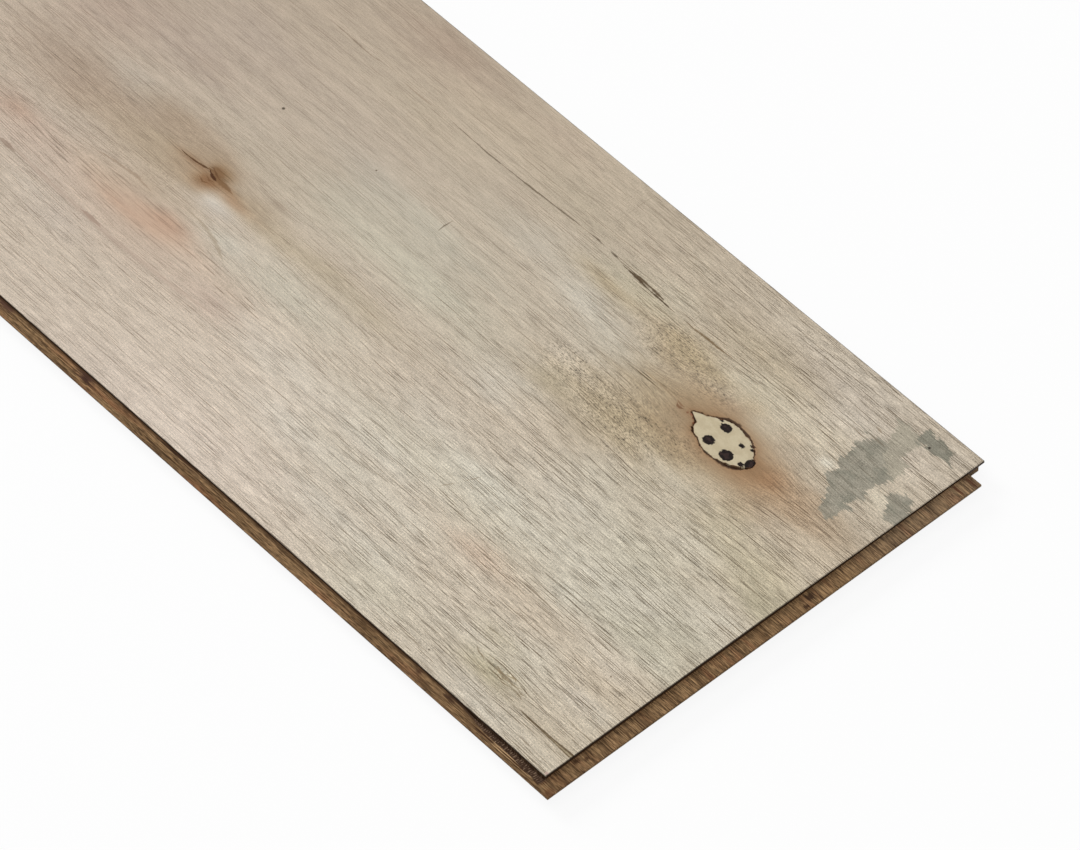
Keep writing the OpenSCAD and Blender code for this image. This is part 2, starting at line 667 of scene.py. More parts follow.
# Soft patches, each laid over those before it: (d, s, along, across, colour, strength).
TONES = tuple(Tone(*row) for row in (
    (175, 8, 42, 14, (208, 194, 180), 0.7), (172, 32, 30, 9, (205, 193, 178), 0.5),
    (92, 10, 24, 12, (194, 187, 168), 0.6), (80, 56, 42, 9, (197, 189, 171), 0.6),
    (128, 56, 40, 10, (198, 191, 173), 0.6), (132, 36, 14, 7, (189, 180, 163), 0.5),
    (205, 70, 30, 9, (192, 187, 170), 0.6), (8, 11, 24, 4, (176, 162, 140), 0.5),
    (42, 16, 12, 5, (172, 161, 130), 0.75), (46, 27, 14, 4, (184, 173, 148), 0.5),
    (12, 38, 20, 8, (193, 178, 156), 0.5), (22, 44, 14, 4, (200, 188, 170), 0.6),
    (60, 40, 40, 9, (197, 180, 158), 0.5), (82, 43, 14, 5, (197, 174, 153), 0.6),
    (20, 60, 28, 9, (184, 180, 160), 0.6), (12, 70, 12, 5, (176, 172, 152), 0.4),
    (45, 82, 30, 12, (188, 183, 163), 0.5), (150, 88, 20, 6, (186, 174, 157), 0.5),
    (15, 103, 30, 9, (182, 172, 145), 0.7), (4, 96, 9, 5, (168, 160, 135), 0.6),
    (8, 125, 16, 8, (190, 174, 150), 0.5), (12, 135, 22, 5, (176, 160, 138), 0.6),
    (56, 110, 12, 6, (190, 181, 166), 0.6), (48, 130, 26, 9, (162, 131, 98), 0.9),
    (30, 133, 20, 6, (172, 148, 122), 0.7), (66, 142, 16, 5, (158, 132, 102), 0.7),
    (64, 122, 20, 6, (163, 143, 114), 0.8), (90, 115, 26, 12, (169, 153, 125), 0.9),
    (84, 131, 18, 9, (160, 140, 112), 0.7), (102, 149, 18, 8, (169, 151, 124), 0.85),
    (88, 152, 14, 6, (166, 148, 120), 0.6), (136, 150, 18, 4, (173, 158, 131), 0.7),
    (60, 157, 26, 8, (196, 186, 165), 0.7), (118, 134, 20, 9, (190, 182, 166), 0.7),
    (118, 163, 14, 4, (190, 180, 162), 0.4), (78, 168, 28, 8, (177, 163, 138), 0.6),
    (14, 172, 12, 6, (192, 180, 166), 0.5), (45, 181, 30, 8, (184, 173, 159), 0.6),
    (130, 158, 22, 5, (172, 162, 144), 0.5), (165, 167, 18, 6, (172, 160, 140), 0.6),
    (180, 107, 45, 10, (187, 182, 164), 0.7), (192, 123, 38, 9, (182, 177, 161), 0.6),
    (222, 110, 14, 12, (184, 178, 161), 0.4), (175, 145, 30, 8, (182, 172, 155), 0.5),
    (190, 84, 30, 5, (186, 173, 151), 0.7), (225, 84, 26, 5, (182, 167, 144), 0.8),
    (246, 84, 12, 3.5, (174, 151, 124), 0.6), (262, 57, 22, 6, (181, 150, 127), 0.85),
    (272, 50, 58, 10, (190, 169, 151), 0.6), (285, 62, 20, 8, (184, 163, 142), 0.5),
    (325, 55, 24, 8, (180, 158, 142), 0.6), (219, 50, 10, 6, (190, 168, 150), 0.4),
    (232, 71, 16, 5, (196, 184, 168), 0.5), (252, 77, 9, 4, (198, 187, 174), 0.9),
    (250, 84.3, 12, 1.9, (158, 130, 102), 0.6), (259.5, 82.3, 4.8, 3.2, (140, 108, 80), 0.9),
    (259, 88.3, 5, 2.6, (132, 104, 78), 0.9), (269, 85.8, 8, 1.4, (152, 118, 88), 0.7),
    (263, 92, 12, 5, (158, 136, 112), 0.7), (285, 84, 20, 8, (172, 158, 132), 0.7),
    (290, 93, 22, 6, (163, 143, 120), 0.7), (322, 80, 30, 9, (173, 154, 136), 0.8),
    (312, 66, 20, 5, (186, 172, 156), 0.6), (275, 110, 30, 10, (184, 171, 154), 0.5),
    (308, 118, 26, 10, (173, 157, 143), 0.7), (342, 112, 20, 18, (172, 153, 138), 0.7),
    (300, 138, 26, 12, (175, 160, 146), 0.6), (232, 155, 18, 7, (178, 164, 143), 0.5),
    (250, 181, 26, 9, (171, 153, 136), 0.8), (215, 173, 40, 8, (184, 168, 147), 0.5),
    (195, 184, 20, 5, (182, 164, 146), 0.5), (33.5, 151.8, 3.4, 2.4, (222, 216, 200), 1.0),
    (11, 153.5, 5, 4, (205, 195, 172), 0.6), (41, 132.5, 7, 4, (149, 113, 82), 0.6),
    (71, 139.5, 6, 2.6, (144, 114, 86), 0.6), (81, 133.5, 6, 3.2, (147, 117, 89), 0.6),
    (61, 111.5, 12, 4, (195, 185, 165), 0.7), (56, 155, 26, 6, (201, 189, 168), 0.7),
    (98, 152, 13, 7, (165, 149, 120), 0.5), (240, 89, 9, 4, (167, 148, 124), 0.6),
    (267, 82, 13, 7, (166, 144, 119), 0.7), (270, 84.5, 8, 4, (153, 128, 101), 0.6),
    (292, 78, 28, 8, (171, 153, 130), 0.5), (312, 87, 26, 5, (167, 149, 130), 0.5),
    (248, 101, 30, 10, (173, 161, 142), 0.4), (259.5, 82.6, 5.0, 3.0, (144, 111, 76), 0.85),
    (259.5, 88.4, 4.8, 3.0, (134, 106, 74), 0.85), (253, 84.8, 7, 1.6, (142, 110, 78), 0.55),
    (246.5, 82.8, 6, 1.6, (164, 134, 106), 0.6), (269, 85.4, 7, 1.3, (140, 108, 78), 0.6),
    (253, 78.6, 5, 1.8, (202, 192, 178), 0.8), (235, 93.6, 4, 1.4, (150, 134, 116), 0.5),
    (254, 60.5, 8, 3.4, (178, 145, 122), 0.6), (270, 55, 12, 1.8, (182, 152, 130), 0.5),
    (234, 70, 7, 3, (192, 186, 172), 0.6), (138, 151, 12, 2.2, (170, 152, 122), 0.6),
    (327, 56.5, 8, 4, (168, 140, 120), 0.5), (88, 131, 22, 10, (160, 143, 115), 0.5),
    (66, 120, 16, 5, (168, 151, 124), 0.45), (42, 97, 18, 8, (198, 188, 168), 0.4),
    (60, 66, 28, 7, (198, 191, 176), 0.4), (104, 36, 16, 8, (206, 197, 180), 0.5),
    (36, 74, 36, 10, (198, 193, 176), 0.4), (160, 48, 40, 9, (206, 198, 184), 0.4),
    (44, 170, 12, 8, (200, 189, 174), 0.5), (72, 155, 12, 6, (198, 188, 168), 0.4),
    (74, 93, 18, 8, (196, 190, 172), 0.4), (40, 65, 18, 7, (208, 202, 186), 0.35),
    (100, 66, 18, 7, (208, 205, 192), 0.45), (130, 50, 16, 6, (210, 204, 190), 0.35),
    (190, 50, 18, 6, (206, 200, 188), 0.3), (130, 20, 18, 7, (208, 205, 192), 0.35),
    (10, 4, 14, 4, (206, 196, 178), 0.35), (72, 35, 14, 6, (206, 199, 184), 0.25),
    (160, 34, 16, 6, (212, 206, 194), 0.3), (84, 80, 24, 7, (206, 200, 186), 0.3),
    (28, 171, 22, 7, (208, 198, 182), 0.3), (10, 124, 12, 6, (202, 190, 170), 0.35),
    (162, 146, 18, 9, (196, 190, 178), 0.3), (305, 46, 20, 7, (198, 184, 170), 0.3),
    (40, 110, 14, 7, (186, 174, 144), 0.35), (73, 130, 12, 8, (146, 126, 102), 0.25),
    (305, 88, 34, 9, (154, 134, 116), 0.3), (222, 126, 16, 6, (164, 156, 144), 0.25),
    (250, 185, 20, 5, (156, 136, 118), 0.3), (222, 6, 18, 6, (182, 168, 156), 0.25),
    (220, 50, 10, 6, (176, 158, 146), 0.25), (238, 135, 28, 14, (164, 152, 142), 0.16),
    (260, 82.4, 3.6, 2.2, (124, 90, 62), 0.5), (261, 88.4, 2.8, 1.6, (112, 80, 54), 0.5),
    (280, 95, 14, 6, (188, 176, 160), 0.15), (250, 78.5, 8, 3, (208, 202, 192), 0.35),
    (190, 80, 14, 6, (170, 160, 144), 0.2), (340, 82, 16, 8, (150, 134, 118), 0.3),
    (72, 136, 10, 10, (140, 118, 96), 0.25), (40, 27, 16, 9, (202, 194, 178), 0.3),
    (28, 50, 24, 7, (206, 198, 184), 0.25), (104, 20, 16, 7, (208, 205, 192), 0.3),
    (72, 80, 14, 7, (208, 202, 188), 0.25), (9, 155, 8, 5, (208, 198, 180), 0.35),
    (42, 170, 12, 6, (206, 196, 180), 0.3), (134, 142, 14, 7, (196, 191, 178), 0.3),
    (132, 156, 14, 4, (188, 180, 154), 0.3), (190, 155, 14, 6, (164, 150, 134), 0.25),
    (132, 70, 16, 8, (200, 197, 186), 0.25), (282, 36, 14, 6, (198, 186, 174), 0.35),
    (84, 65, 24, 7, (214, 209, 192), 0.35), (10, 81, 12, 7, (212, 206, 190), 0.4),
    (40, 95, 14, 7, (214, 208, 192), 0.3), (130, 95, 14, 7, (206, 204, 194), 0.3),
    (310, 95, 14, 6, (200, 196, 186), 0.3), (10, 110, 9, 7, (212, 198, 172), 0.4),
    (55, 125, 12, 6, (150, 124, 96), 0.2), (84, 140, 14, 6, (148, 126, 96), 0.2),
    (9, 170, 8, 6, (212, 198, 176), 0.35), (60, 185, 40, 5, (214, 204, 186), 0.3),
    (40, 5, 18, 6, (208, 204, 192), 0.3), (40, 30, 16, 8, (208, 204, 190), 0.25),
    (130, 35, 40, 6, (208, 204, 190), 0.25), (280, 95, 14, 6, (150, 124, 100), 0.18),
    (55, 125, 12, 6, (150, 124, 96), 0.15), (76, 140, 14, 6, (150, 124, 92), 0.2),
    (70, 155, 10, 6, (206, 196, 168), 0.25), (55, 20, 22, 6, (206, 202, 190), 0.25),
    (134, 140, 14, 6, (206, 202, 190), 0.25), (9, 185, 8, 4, (206, 196, 182), 0.3),
    (46, 131, 6, 4, (124, 90, 60), 0.4), (49, 135, 5, 3, (110, 84, 60), 0.35),
    (82, 122.5, 7, 3, (140, 120, 92), 0.35), (57, 118, 8, 3, (200, 190, 170), 0.4),
    (57, 146, 6, 3, (200, 192, 172), 0.4), (69, 146, 5, 3, (146, 122, 98), 0.4),
    (49, 150.5, 6, 3, (168, 150, 126), 0.4), (67, 150.5, 6, 3, (170, 150, 120), 0.4),
    (62, 126, 9, 2.5, (140, 112, 86), 0.35), (90, 130.5, 4, 3, (196, 178, 150), 0.35),
    (51, 127.5, 5, 3, (130, 92, 60), 0.3), (46, 126, 5, 3, (150, 118, 88), 0.35),
    (60, 142.5, 11, 1.8, (188, 170, 146), 0.25), (50, 54.5, 8, 4, (212, 206, 190), 0.45),
    (14, 27.5, 8, 4, (210, 200, 186), 0.4), (122, 157, 8, 4, (200, 188, 160), 0.4),
    (41, 161, 8, 4, (212, 200, 178), 0.4), (118, 165.5, 9, 4, (206, 196, 172), 0.35),
    (324, 48, 8, 5, (208, 192, 176), 0.4), (15, 44, 8, 4, (214, 202, 184), 0.35),
    (120, 178, 9, 4, (204, 192, 170), 0.35), (298, 38, 9, 4, (212, 200, 184), 0.35),
    (10, 56, 7, 4, (208, 202, 184), 0.35), (49, 25, 8, 4, (170, 158, 134), 0.35),
    (67, 103.5, 9, 4, (204, 196, 174), 0.35), (91, 4, 12, 3, (212, 204, 188), 0.35),
    (221, 57.5, 10, 4, (174, 158, 140), 0.35), (131, 161, 7, 4, (192, 180, 154), 0.3),
    (203, 87.5, 10, 4, (164, 150, 126), 0.35), (148, 40, 10, 4, (178, 168, 150), 0.35),
    (271, 67.5, 9, 4, (166, 146, 122), 0.35), (96, 133, 6, 3, (190, 172, 144), 0.3),
    (255, 70, 9, 4, (170, 152, 130), 0.35), (32, 145, 6, 4, (200, 186, 162), 0.35),
    (38, 117, 7, 4, (162, 144, 112), 0.3), (233, 88, 9, 4, (160, 144, 122), 0.35),
    (30, 70, 9, 4, (208, 200, 184), 0.35), (82, 90, 9, 4, (208, 198, 180), 0.35),
    (57, 163.5, 9, 4, (208, 195, 172), 0.35), (27, 44, 6, 4, (214, 204, 186), 0.3),
    (119, 110, 8, 6, (156, 144, 116), 0.35), (87, 151, 10, 2.5, (164, 148, 120), 0.35),
    (103, 151, 7, 2.5, (160, 144, 116), 0.3), (72, 120, 5, 3, (142, 122, 94), 0.3),
    (113, 157, 9, 2.5, (198, 186, 160), 0.35), (5, 27.5, 4, 4, (208, 200, 184), 0.35),
    (51, 54.5, 7, 3, (212, 206, 188), 0.35), (30, 4, 10, 3, (206, 198, 182), 0.35),
    (298, 117, 9, 4, (158, 142, 126), 0.35), (240, 116.5, 10, 4, (166, 152, 134), 0.35),
    (177, 85, 10, 4, (170, 156, 134), 0.35), (15, 27.5, 7, 3, (208, 198, 182), 0.3),
))

# The filled knot, the small knot, the olive knot by the tongue edge and the pink wood.
SWIRLS = (
    Swirl(62, 133.5, 6.6, 24, 13),
    Swirl(262, 86, 2.6, 16, 8),
    Swirl(42, 17, 1.6, 12, 6),
    Swirl(258, 57, 5.0, 46, 12),
)

LINES = (
    # The dark crack along the plank beyond the filled knot.
    Line(((84, 159.6, 0), (90, 159.3, 0.3), (97, 159.2, 0.4), (104, 159.0, 0.3), (109, 159.2, 0)),
         (104, 82, 50), 0.8),
    Line(((112, 159.0, 0), (117, 159.2, 0.25), (122, 159.4, 0.35), (127, 159.6, 0.2), (133, 160.1, 0.5),
          (140, 160.4, 0)), (70, 52, 32), 0.92),
    Line(((119, 160.1, 0), (122, 160.4, 0.4), (126, 160.6, 0.3), (131, 160.6, 0.45), (137, 160.9, 0)),
         (78, 60, 38), 0.88),
    Line(((142, 161.2, 0), (144.5, 161.4, 0.35), (147, 161.5, 0)), (74, 60, 44), 0.85),
    Line(((149, 161.8, 0), (153, 161.9, 0.3), (158, 162.0, 0)), (88, 72, 54), 0.8),
    Line(((160, 161.7, 0), (172, 161.3, 0.22), (185, 160.9, 0.3), (196, 160.6, 0.12),
          (206, 160.4, 0.2), (214, 160.7, 0.15), (226, 161.0, 0)), (92, 78, 58), 0.75),
    Line(((232, 160.9, 0), (240, 160.7, 0.25), (252, 161, 0)), (140, 120, 98), 0.5),
    Line(((260, 161.2, 0), (270, 160.9, 0.25), (276, 161.2, 0.2), (292, 161.6, 0)), (110, 92, 72), 0.6),
    # Veins at the tongue end, and short ones along the tongue edge.
    Line(((0, 11.1, 0.7), (8, 11.2, 0.45), (15, 11.3, 0)), (148, 132, 102), 0.65),
    Line(((0, 10.5, 0.22), (10, 10.9, 0.22), (18, 11.2, 0.2), (26, 11.4, 0)), (92, 74, 48), 0.8),
    Line(((0, 11.8, 0.32), (8, 11.6, 0.3), (16, 11.5, 0.25), (25, 11.5, 0)), (82, 64, 40), 0.85),
    Line(((0, 19.7, 0.25), (9, 20.1, 0.2), (16, 20.6, 0)), (120, 106, 84), 0.7),
    Line(((18, 20.5, 0), (24, 20.8, 0.18), (30, 20.9, 0)), (120, 106, 84), 0.5),
    Line(((8, 4.1, 0), (14, 4.2, 0.18), (20, 4.6, 0)), (134, 118, 96), 0.6),
    Line(((20, 30.7, 0), (24, 31, 0.25), (30, 31, 0)), (116, 98, 86), 0.6),
    Line(((33, 26.6, 0), (38, 26.9, 0.12), (50, 26.7, 0.1), (55, 26.4, 0.3), (57, 26.3, 0)),
         (112, 98, 72), 0.6),
    Line(((60, 5.2, 0), (72, 5.5, 0.2), (84, 6.2, 0)), (124, 108, 86), 0.5),
    # The small knot and its tail.
    Line(((255.6, 83.4, 0), (257.5, 83.2, 1.1), (259.8, 83.2, 1.7), (262, 83.6, 1.2), (263.4, 84.2, 0)),
         (140, 104, 74), 0.3),
    Line(((256.4, 87.6, 0), (257.6, 87.8, 0.9), (259.7, 88.1, 1.3), (261.6, 88.5, 1), (263, 88.7, 0)),
         (124, 92, 62), 0.5),
    Line(((249, 85.4, 0), (252.5, 85.7, 0.7), (255, 85.9, 1.1), (258, 86, 1.2), (261, 86.8, 0.7),
          (264, 87.2, 0)), (112, 80, 50), 0.7),
    Line(((257.2, 85.2, 0), (258.6, 85.2, 0.45), (260.5, 85.7, 0.55), (262.4, 86.7, 0.2),
          (262.8, 86.9, 0)), (64, 34, 12), 0.9),
    Line(((262.4, 87.0, 0), (265, 86.4, 0.4), (269, 85.7, 0.35), (273, 85.5, 0.25), (276.5, 85.7, 0)),
         (74, 42, 18), 0.88),
    Line(((256.5, 86.2, 0), (259.5, 87.0, 0.3), (262.5, 88.2, 0.3), (264.5, 87.8, 0)), (88, 58, 34), 0.6),
    Line(((257.5, 83.0, 0), (260.5, 81.6, 0.35), (263.5, 82.6, 0)), (104, 70, 44), 0.7),
    Line(((257, 84.2, 0), (259.5, 83.6, 0.3), (262, 84.4, 0)), (104, 70, 44), 0.6),
    # Beside the filled knot, then short veins round the olive knot.
    Line(((80.6, 133.2, 0), (82.0, 132.7, 0.4), (83.4, 132.9, 0.35), (84.6, 133.8, 0)), (116, 80, 56), 0.8),
    Line(((81.0, 134.2, 0), (82.4, 133.8, 0.35), (83.8, 134.1, 0.3), (85.2, 134.5, 0)), (128, 92, 66), 0.7),
    Line(((60, 33.4, 0), (62.5, 33.2, 0.2), (65, 33.4, 0)), (110, 95, 70), 0.6),
    Line(((27, 16.4, 0), (29.5, 16.0, 0.3), (31.5, 16.4, 0)), (116, 100, 74), 0.7),
    Line(((33, 19.0, 0), (36, 18.6, 0.2), (39, 19.2, 0)), (132, 114, 84), 0.6),
    Line(((47, 16.2, 0), (49, 17.2, 0.25), (51.5, 17.6, 0)), (128, 110, 84), 0.7),
    # The burnt rim of the filled knot, and the vein behind it.
    Line(((49.0, 130.2, 0), (51.5, 128.2, 0.6), (55, 126.9, 0.8), (58, 126.4, 0.5), (63, 126.0, 0.35),
          (68, 127.6, 0)), (52, 32, 20), 0.92),
    Line(((54, 139.6, 0), (58, 140.9, 0.4), (64, 141.7, 0.55), (68, 141.1, 0.5), (72, 138.6, 0)),
         (54, 36, 24), 0.92),
    Line(((86, 133.9, 0), (92, 134.7, 0.3), (99, 135.0, 0.2), (106, 135.3, 0)), (150, 128, 100), 0.5),
    # Round the pink wood.
    Line(((229, 63.6, 0), (233, 65.4, 0.6), (238, 67.6, 0.8), (246, 69.4, 0.5), (256, 70.2, 0)),
         (158, 142, 120), 0.5),
    Line(((268, 66, 0), (277, 66.9, 0.5), (286, 66, 0.4), (296, 64.6, 0)), (148, 126, 104), 0.55),
    Line(((208, 47, 0), (232, 44.5, 0.9), (262, 43, 0.9), (300, 44, 0.7), (330, 46, 0)),
         (178, 158, 142), 0.5),
    # Scratches across the grain.
    Line(((125, 191.6, 0), (128, 191.9, 0.3), (132, 191.6, 0)), (106, 92, 76), 0.75, Run.ACROSS),
    Line(((132, 191.6, 0), (138, 191.8, 0)), (146, 132, 114), 0.5, Run.ACROSS),
    Line(((176, 155, 0), (185, 155.2, 0.14), (190, 155, 0)), (150, 136, 116), 0.5, Run.ACROSS),
    Line(((52.5, 110.2, 0), (55, 108.6, 0.22), (58.5, 106.6, 0)), (150, 134, 112), 0.7, Run.ACROSS),
    Line(((60, 106.2, 0), (63, 104.6, 0.2), (67, 103.2, 0)), (150, 134, 112), 0.7, Run.ACROSS),
    # Brown dashes beside the pink wood, then more short veins round the olive knot.
    Line(((267, 43.6, 0), (273, 43.8, 0.9), (279, 43.8, 0)), (152, 128, 112), 0.6),
    Line(((312, 43.8, 0), (317, 44.0, 1.0), (322, 44.2, 0)), (140, 118, 102), 0.65),
    Line(((27, 14.6, 0), (31, 15.4, 0.3), (35, 15.0, 0)), (124, 108, 82), 0.7),
    Line(((30, 17.4, 0), (34, 16.4, 0.3), (40, 17.2, 0.3), (44, 18.2, 0)), (132, 114, 86), 0.7),
    Line(((33, 15.2, 0), (37, 14.8, 0.25), (41, 15.8, 0)), (120, 102, 76), 0.7),
    Line(((33, 17.6, 0), (35, 18.4, 0.2), (37.5, 17.8, 0.2), (39, 18.6, 0)), (140, 120, 88), 0.7),
    Line(((35, 16.4, 0), (38, 16.0, 0.2), (41, 16.9, 0.2), (43, 16.6, 0)), (146, 124, 92), 0.7),
    Line(((48, 16.8, 0), (51, 17.4, 0.3), (54, 19.0, 0)), (128, 112, 88), 0.6),
    # Dark ends of the grey stain, and two more scratches.
    Line(((24, 170.5, 0), (29, 170.7, 0.4), (35, 170.9, 0)), (112, 102, 84), 0.7),
    Line(((30, 173.6, 0), (32, 174.2, 0.5), (34, 174.6, 0)), (138, 120, 96), 0.6),
    Line(((53, 82, 0), (56, 81.6, 0.2), (60, 81.4, 0)), (152, 138, 116), 0.5, Run.ACROSS),
    Line(((6.6, 134.2, 0), (8, 135.4, 0.16), (10, 136, 0)), (150, 134, 116), 0.6, Run.ACROSS),
)

DOTS = (
    Dot(267.2, 123.0, 0.6, (72, 62, 50)),
    Dot(225.4, 127.7, 0.35, (98, 84, 68)),
    Dot(15.6, 180.9, 0.5, (42, 33, 27)),
    Dot(62.0, 6.3, 0.35, (90, 80, 64)),
    Dot(77.4, 133.7, 0.7, (150, 104, 80)),
    Dot(75.9, 132.9, 0.4, (112, 62, 40)),
    Dot(0.8, 1.0, 0.7, (194, 168, 155)),
    Dot(15.5, 41.6, 0.3, (110, 92, 72)),
    Dot(78.9, 133.2, 0.45, (128, 88, 66)),
    Dot(74.4, 131.6, 0.4, (120, 70, 46)),
)

MAIN_STAIN = (
    (16.0, 136.0), (21.5, 137.2), (22.5, 140.0), (24.8, 143.3), (26.5, 146.0), (31.0, 148.2),
    (29.3, 151.0), (30.2, 154.0), (31.6, 156.0), (33.8, 157.0), (31.5, 158.6), (32.0, 163.0),
    (33.6, 165.5), (32.0, 168.2), (29.5, 170.0), (34.5, 170.9), (27.5, 172.4), (25.0, 171.0),
    (23.4, 167.4), (20.8, 165.6), (17.4, 163.8), (14.2, 163.2), (14.2, 160.0), (16.0, 157.0),
    (16.4, 153.0), (13.6, 150.4), (15.6, 148.4), (16.4, 145.2), (13.6, 144.0), (16.0, 142.0),
    (15.2, 138.8),
)
EDGE_STAIN = (
    (-3.0, 149.4), (5.0, 149.8), (6.4, 152.4), (8.2, 155.2), (11.2, 156.2), (9.2, 158.4),
    (8.6, 160.8), (6.6, 161.8), (3.6, 161.3), (1.8, 159.8), (1.0, 157.4), (-3.0, 156.8),
)
LOW_STAIN = (
    (4.6, 180.6), (9.0, 181.1), (13.0, 180.0), (17.0, 179.8), (21.4, 180.4), (21.6, 183.4),
    (21.0, 186.0), (17.0, 186.1), (12.0, 185.8), (8.5, 185.2), (8.3, 182.6),
)
PALE_STAIN = (
    (13.6, 161.0), (22.0, 161.0), (26.0, 168.0), (27.0, 174.5), (28.6, 178.6), (31.5, 182.4),
    (22.0, 182.0), (17.5, 180.2), (19.0, 177.0), (18.6, 171.2), (14.4, 170.4), (13.2, 165.0),
)

VOID_MIDDLE = (62.0, 133.5)
VOID_OUTLINE = (
    (48.0, 132.6), (49.6, 130.0), (51.2, 128.6), (54.5, 127.2), (58.0, 126.6), (62.5, 126.3),
    (66.4, 126.9), (69.0, 128.3), (71.9, 128.8), (73.5, 130.0), (74.4, 132.4), (75.8, 133.2),
    (78.6, 134.5), (76.8, 135.9), (73.7, 137.1), (70.3, 139.1), (67.3, 140.8), (64.5, 141.3),
    (60.0, 140.8), (55.5, 139.8), (52.6, 138.5), (50.7, 136.2), (48.5, 135.0),
)


@dataclass
class FaceVeneer:
    """The pale wear layer: a closed slab whose top carries the relief and the grain's course.

    node: the CAD node that it stands for. bevel: how far its upper edges are broken. pit_depth,
    left_under_pit: how deep the void goes, and the least wood under it. burns: (reach, colour,
    strength) of the burnt wood round the void. speckled_beds: (d, s, along, across, strength).
    plain_from, plain_wholly: d where slow noise begins and has taken the patches' place.
    no_stain, deep_inside, far_outside, no_void: limits of the stored distances to outlines.
    spacing_along, spacing_across: (start of a stretch, distance from line to line in it) of the
    top's grid.
    """

    node: str = "face_veneer"
    bevel: float = 0.3
    pit_depth: float = 1.0
    left_under_pit: float = 0.15
    burns: tuple[tuple[float, Colour, float], ...] = (
        (5.0, (160, 134, 102), 0.5), (1.3, (132, 98, 68), 0.7),
    )
    speckled_beds: tuple[tuple[float, float, float, float, float], ...] = (
        (92, 116, 30, 13, 1.0), (101, 149, 22, 9, 1.0), (72, 121, 16, 6, 0.9),
        (120, 118, 14, 10, 0.9), (82, 147, 16, 7, 0.9), (38, 17, 9, 3, 0.6),
        (272, 74, 16, 5, 0.45), (280, 93, 16, 4, 0.4),
    )
    plain_from: float = 330
    plain_wholly: float = 420
    no_stain: float = 12.0
    deep_inside: float = -9.0
    far_outside: float = 9.0
    no_void: float = 24.0
    spacing_along: Pairs = (
        (0.3, 0.95), (45.0, 0.42), (82.0, 2.0), (245.0, 1.0), (285.0, 2.0), (350.0, 5.2),
    )
    spacing_across: Pairs = (
        (0.3, 1.6), (76.0, 0.95), (96.0, 1.5), (124.0, 0.46), (144.0, 0.98),
    )

    def __post_init__(self) -> None:
        """Takes the veneer's box from the frame and starts its noises."""
        self.low, self.high = (np.array(corner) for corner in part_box(self.node))
        self.length, self.width, self.thickness = (self.high - self.low) / MM
        self.warp = ValueNoise(SEED)
        self.tone_warp = ValueNoise(SEED + 1)

    def flow(self, d: Array, s: Array) -> tuple[Array, Array]:
        """Course of the grain.

        A line of the grain keeps one value across it. Beside a swirl the lines are pushed out by
        its core, less with distance, but never by more than 0.6 of the way from its middle. Near
        the tongue edge they run a little aslant, and slow random waves bend all of them.

        Args:
            d: places along the plank.
            s: places across the plank.

        Returns:
            Coordinates along and across the grain, in millimetres.
        """
        across = s + 0.9 * self.warp(d / 70, s / 26) - 0.012 * d * np.exp(-(s / 40))
        for swirl in SWIRLS:
            off = s - swirl.s
            fade = np.exp(-(((d - swirl.d) / swirl.along) ** 2))
            push = swirl.core * fade * np.exp(-np.maximum(np.abs(off) - swirl.core, 0) / swirl.across)
            across = across - np.sign(off) * np.minimum(0.6 * np.abs(off), push)
        return d + 1.5 * self.warp(s / 9 + 7, d / 60 + 3), across

    def tone(self, d: Array, s: Array, void: Array) -> Array:
        """Ground colour of the wood, as linear values.

        The tones of the two edges are blended over the face, and each soft patch then pulls it to
        its own colour by exp(-r^2), where r is the distance in units of the patch's reach. The
        places are first shaken by noise, by a part of that reach, so that no patch has a clean
        edge. Round the void the wood turns to a burnt brown by exp(-distance). Towards the groove
        end, where there are no patches, slow noise takes their place.

        Args:
            d: places along the plank.
            s: places across the plank.
            void: distance to the void's outline.

        Returns:
            One row of red, green, blue, 1 for each place.
        """
        shake_d = self.tone_warp(s / 3.5, d / 24)
        shake_s = self.tone_warp(d / 16 + 9, s / 6 + 5)
        d_in, s_in = d + 4.0 * shake_d, s + 2.0 * shake_s
        tongue_edge, groove_edge = (
            np.stack([np.interp(d_in, TONE_PLACES, channel) for channel in zip(*tones)], axis=-1)
            for tones in (TONGUE_EDGE_TONES, GROOVE_EDGE_TONES))
        share = np.clip(s_in / EDGES_APART, 0, 1)[..., None]
        colour = tongue_edge * (1 - share) + groove_edge * share
        for tone in TONES:
            far_d = (d - tone.d) / tone.along + 0.3 * shake_d
            far_s = (s - tone.s) / tone.across + 0.35 * shake_s
            colour = turned(colour, tone.strength * np.exp(-(far_d**2) - far_s**2), tone.colour)
        for reach, burnt, strength in self.burns:
            colour = turned(colour, strength * np.exp(-np.maximum(void, 0) / reach), burnt)
        beyond = smooth(d, self.plain_from, self.plain_wholly)
        drift = 7.0 * self.tone_warp(d / 120 + 2, s / 15 + 1, 3) * beyond
        colour = colour + drift[..., None] * np.array((1.0, 1.05, 1.15)) + 8.0 * beyond[..., None]
        light = linear(colour)
        return np.concatenate([light, np.ones((*light.shape[:-1], 1))], axis=-1)

    def mottle(self, d: Array, s: Array) -> Array:
        """How speckled the wood is: strong in the olive wood beyond the filled knot.

        Each bed fades as exp(-r^2). The strongest one counts, eased in from 0.12 and full at 0.9.

        Args:
            d: places along the plank.
            s: places across the plank.

        Returns:
            0 for clear wood, 1 for fully speckled.
        """
        beds = [top * near(d, s, (bed_d, bed_s), along, across)
                for bed_d, bed_s, along, across, top in self.speckled_beds]
        return smooth(np.maximum.reduce(beds), 0.12, 0.9)

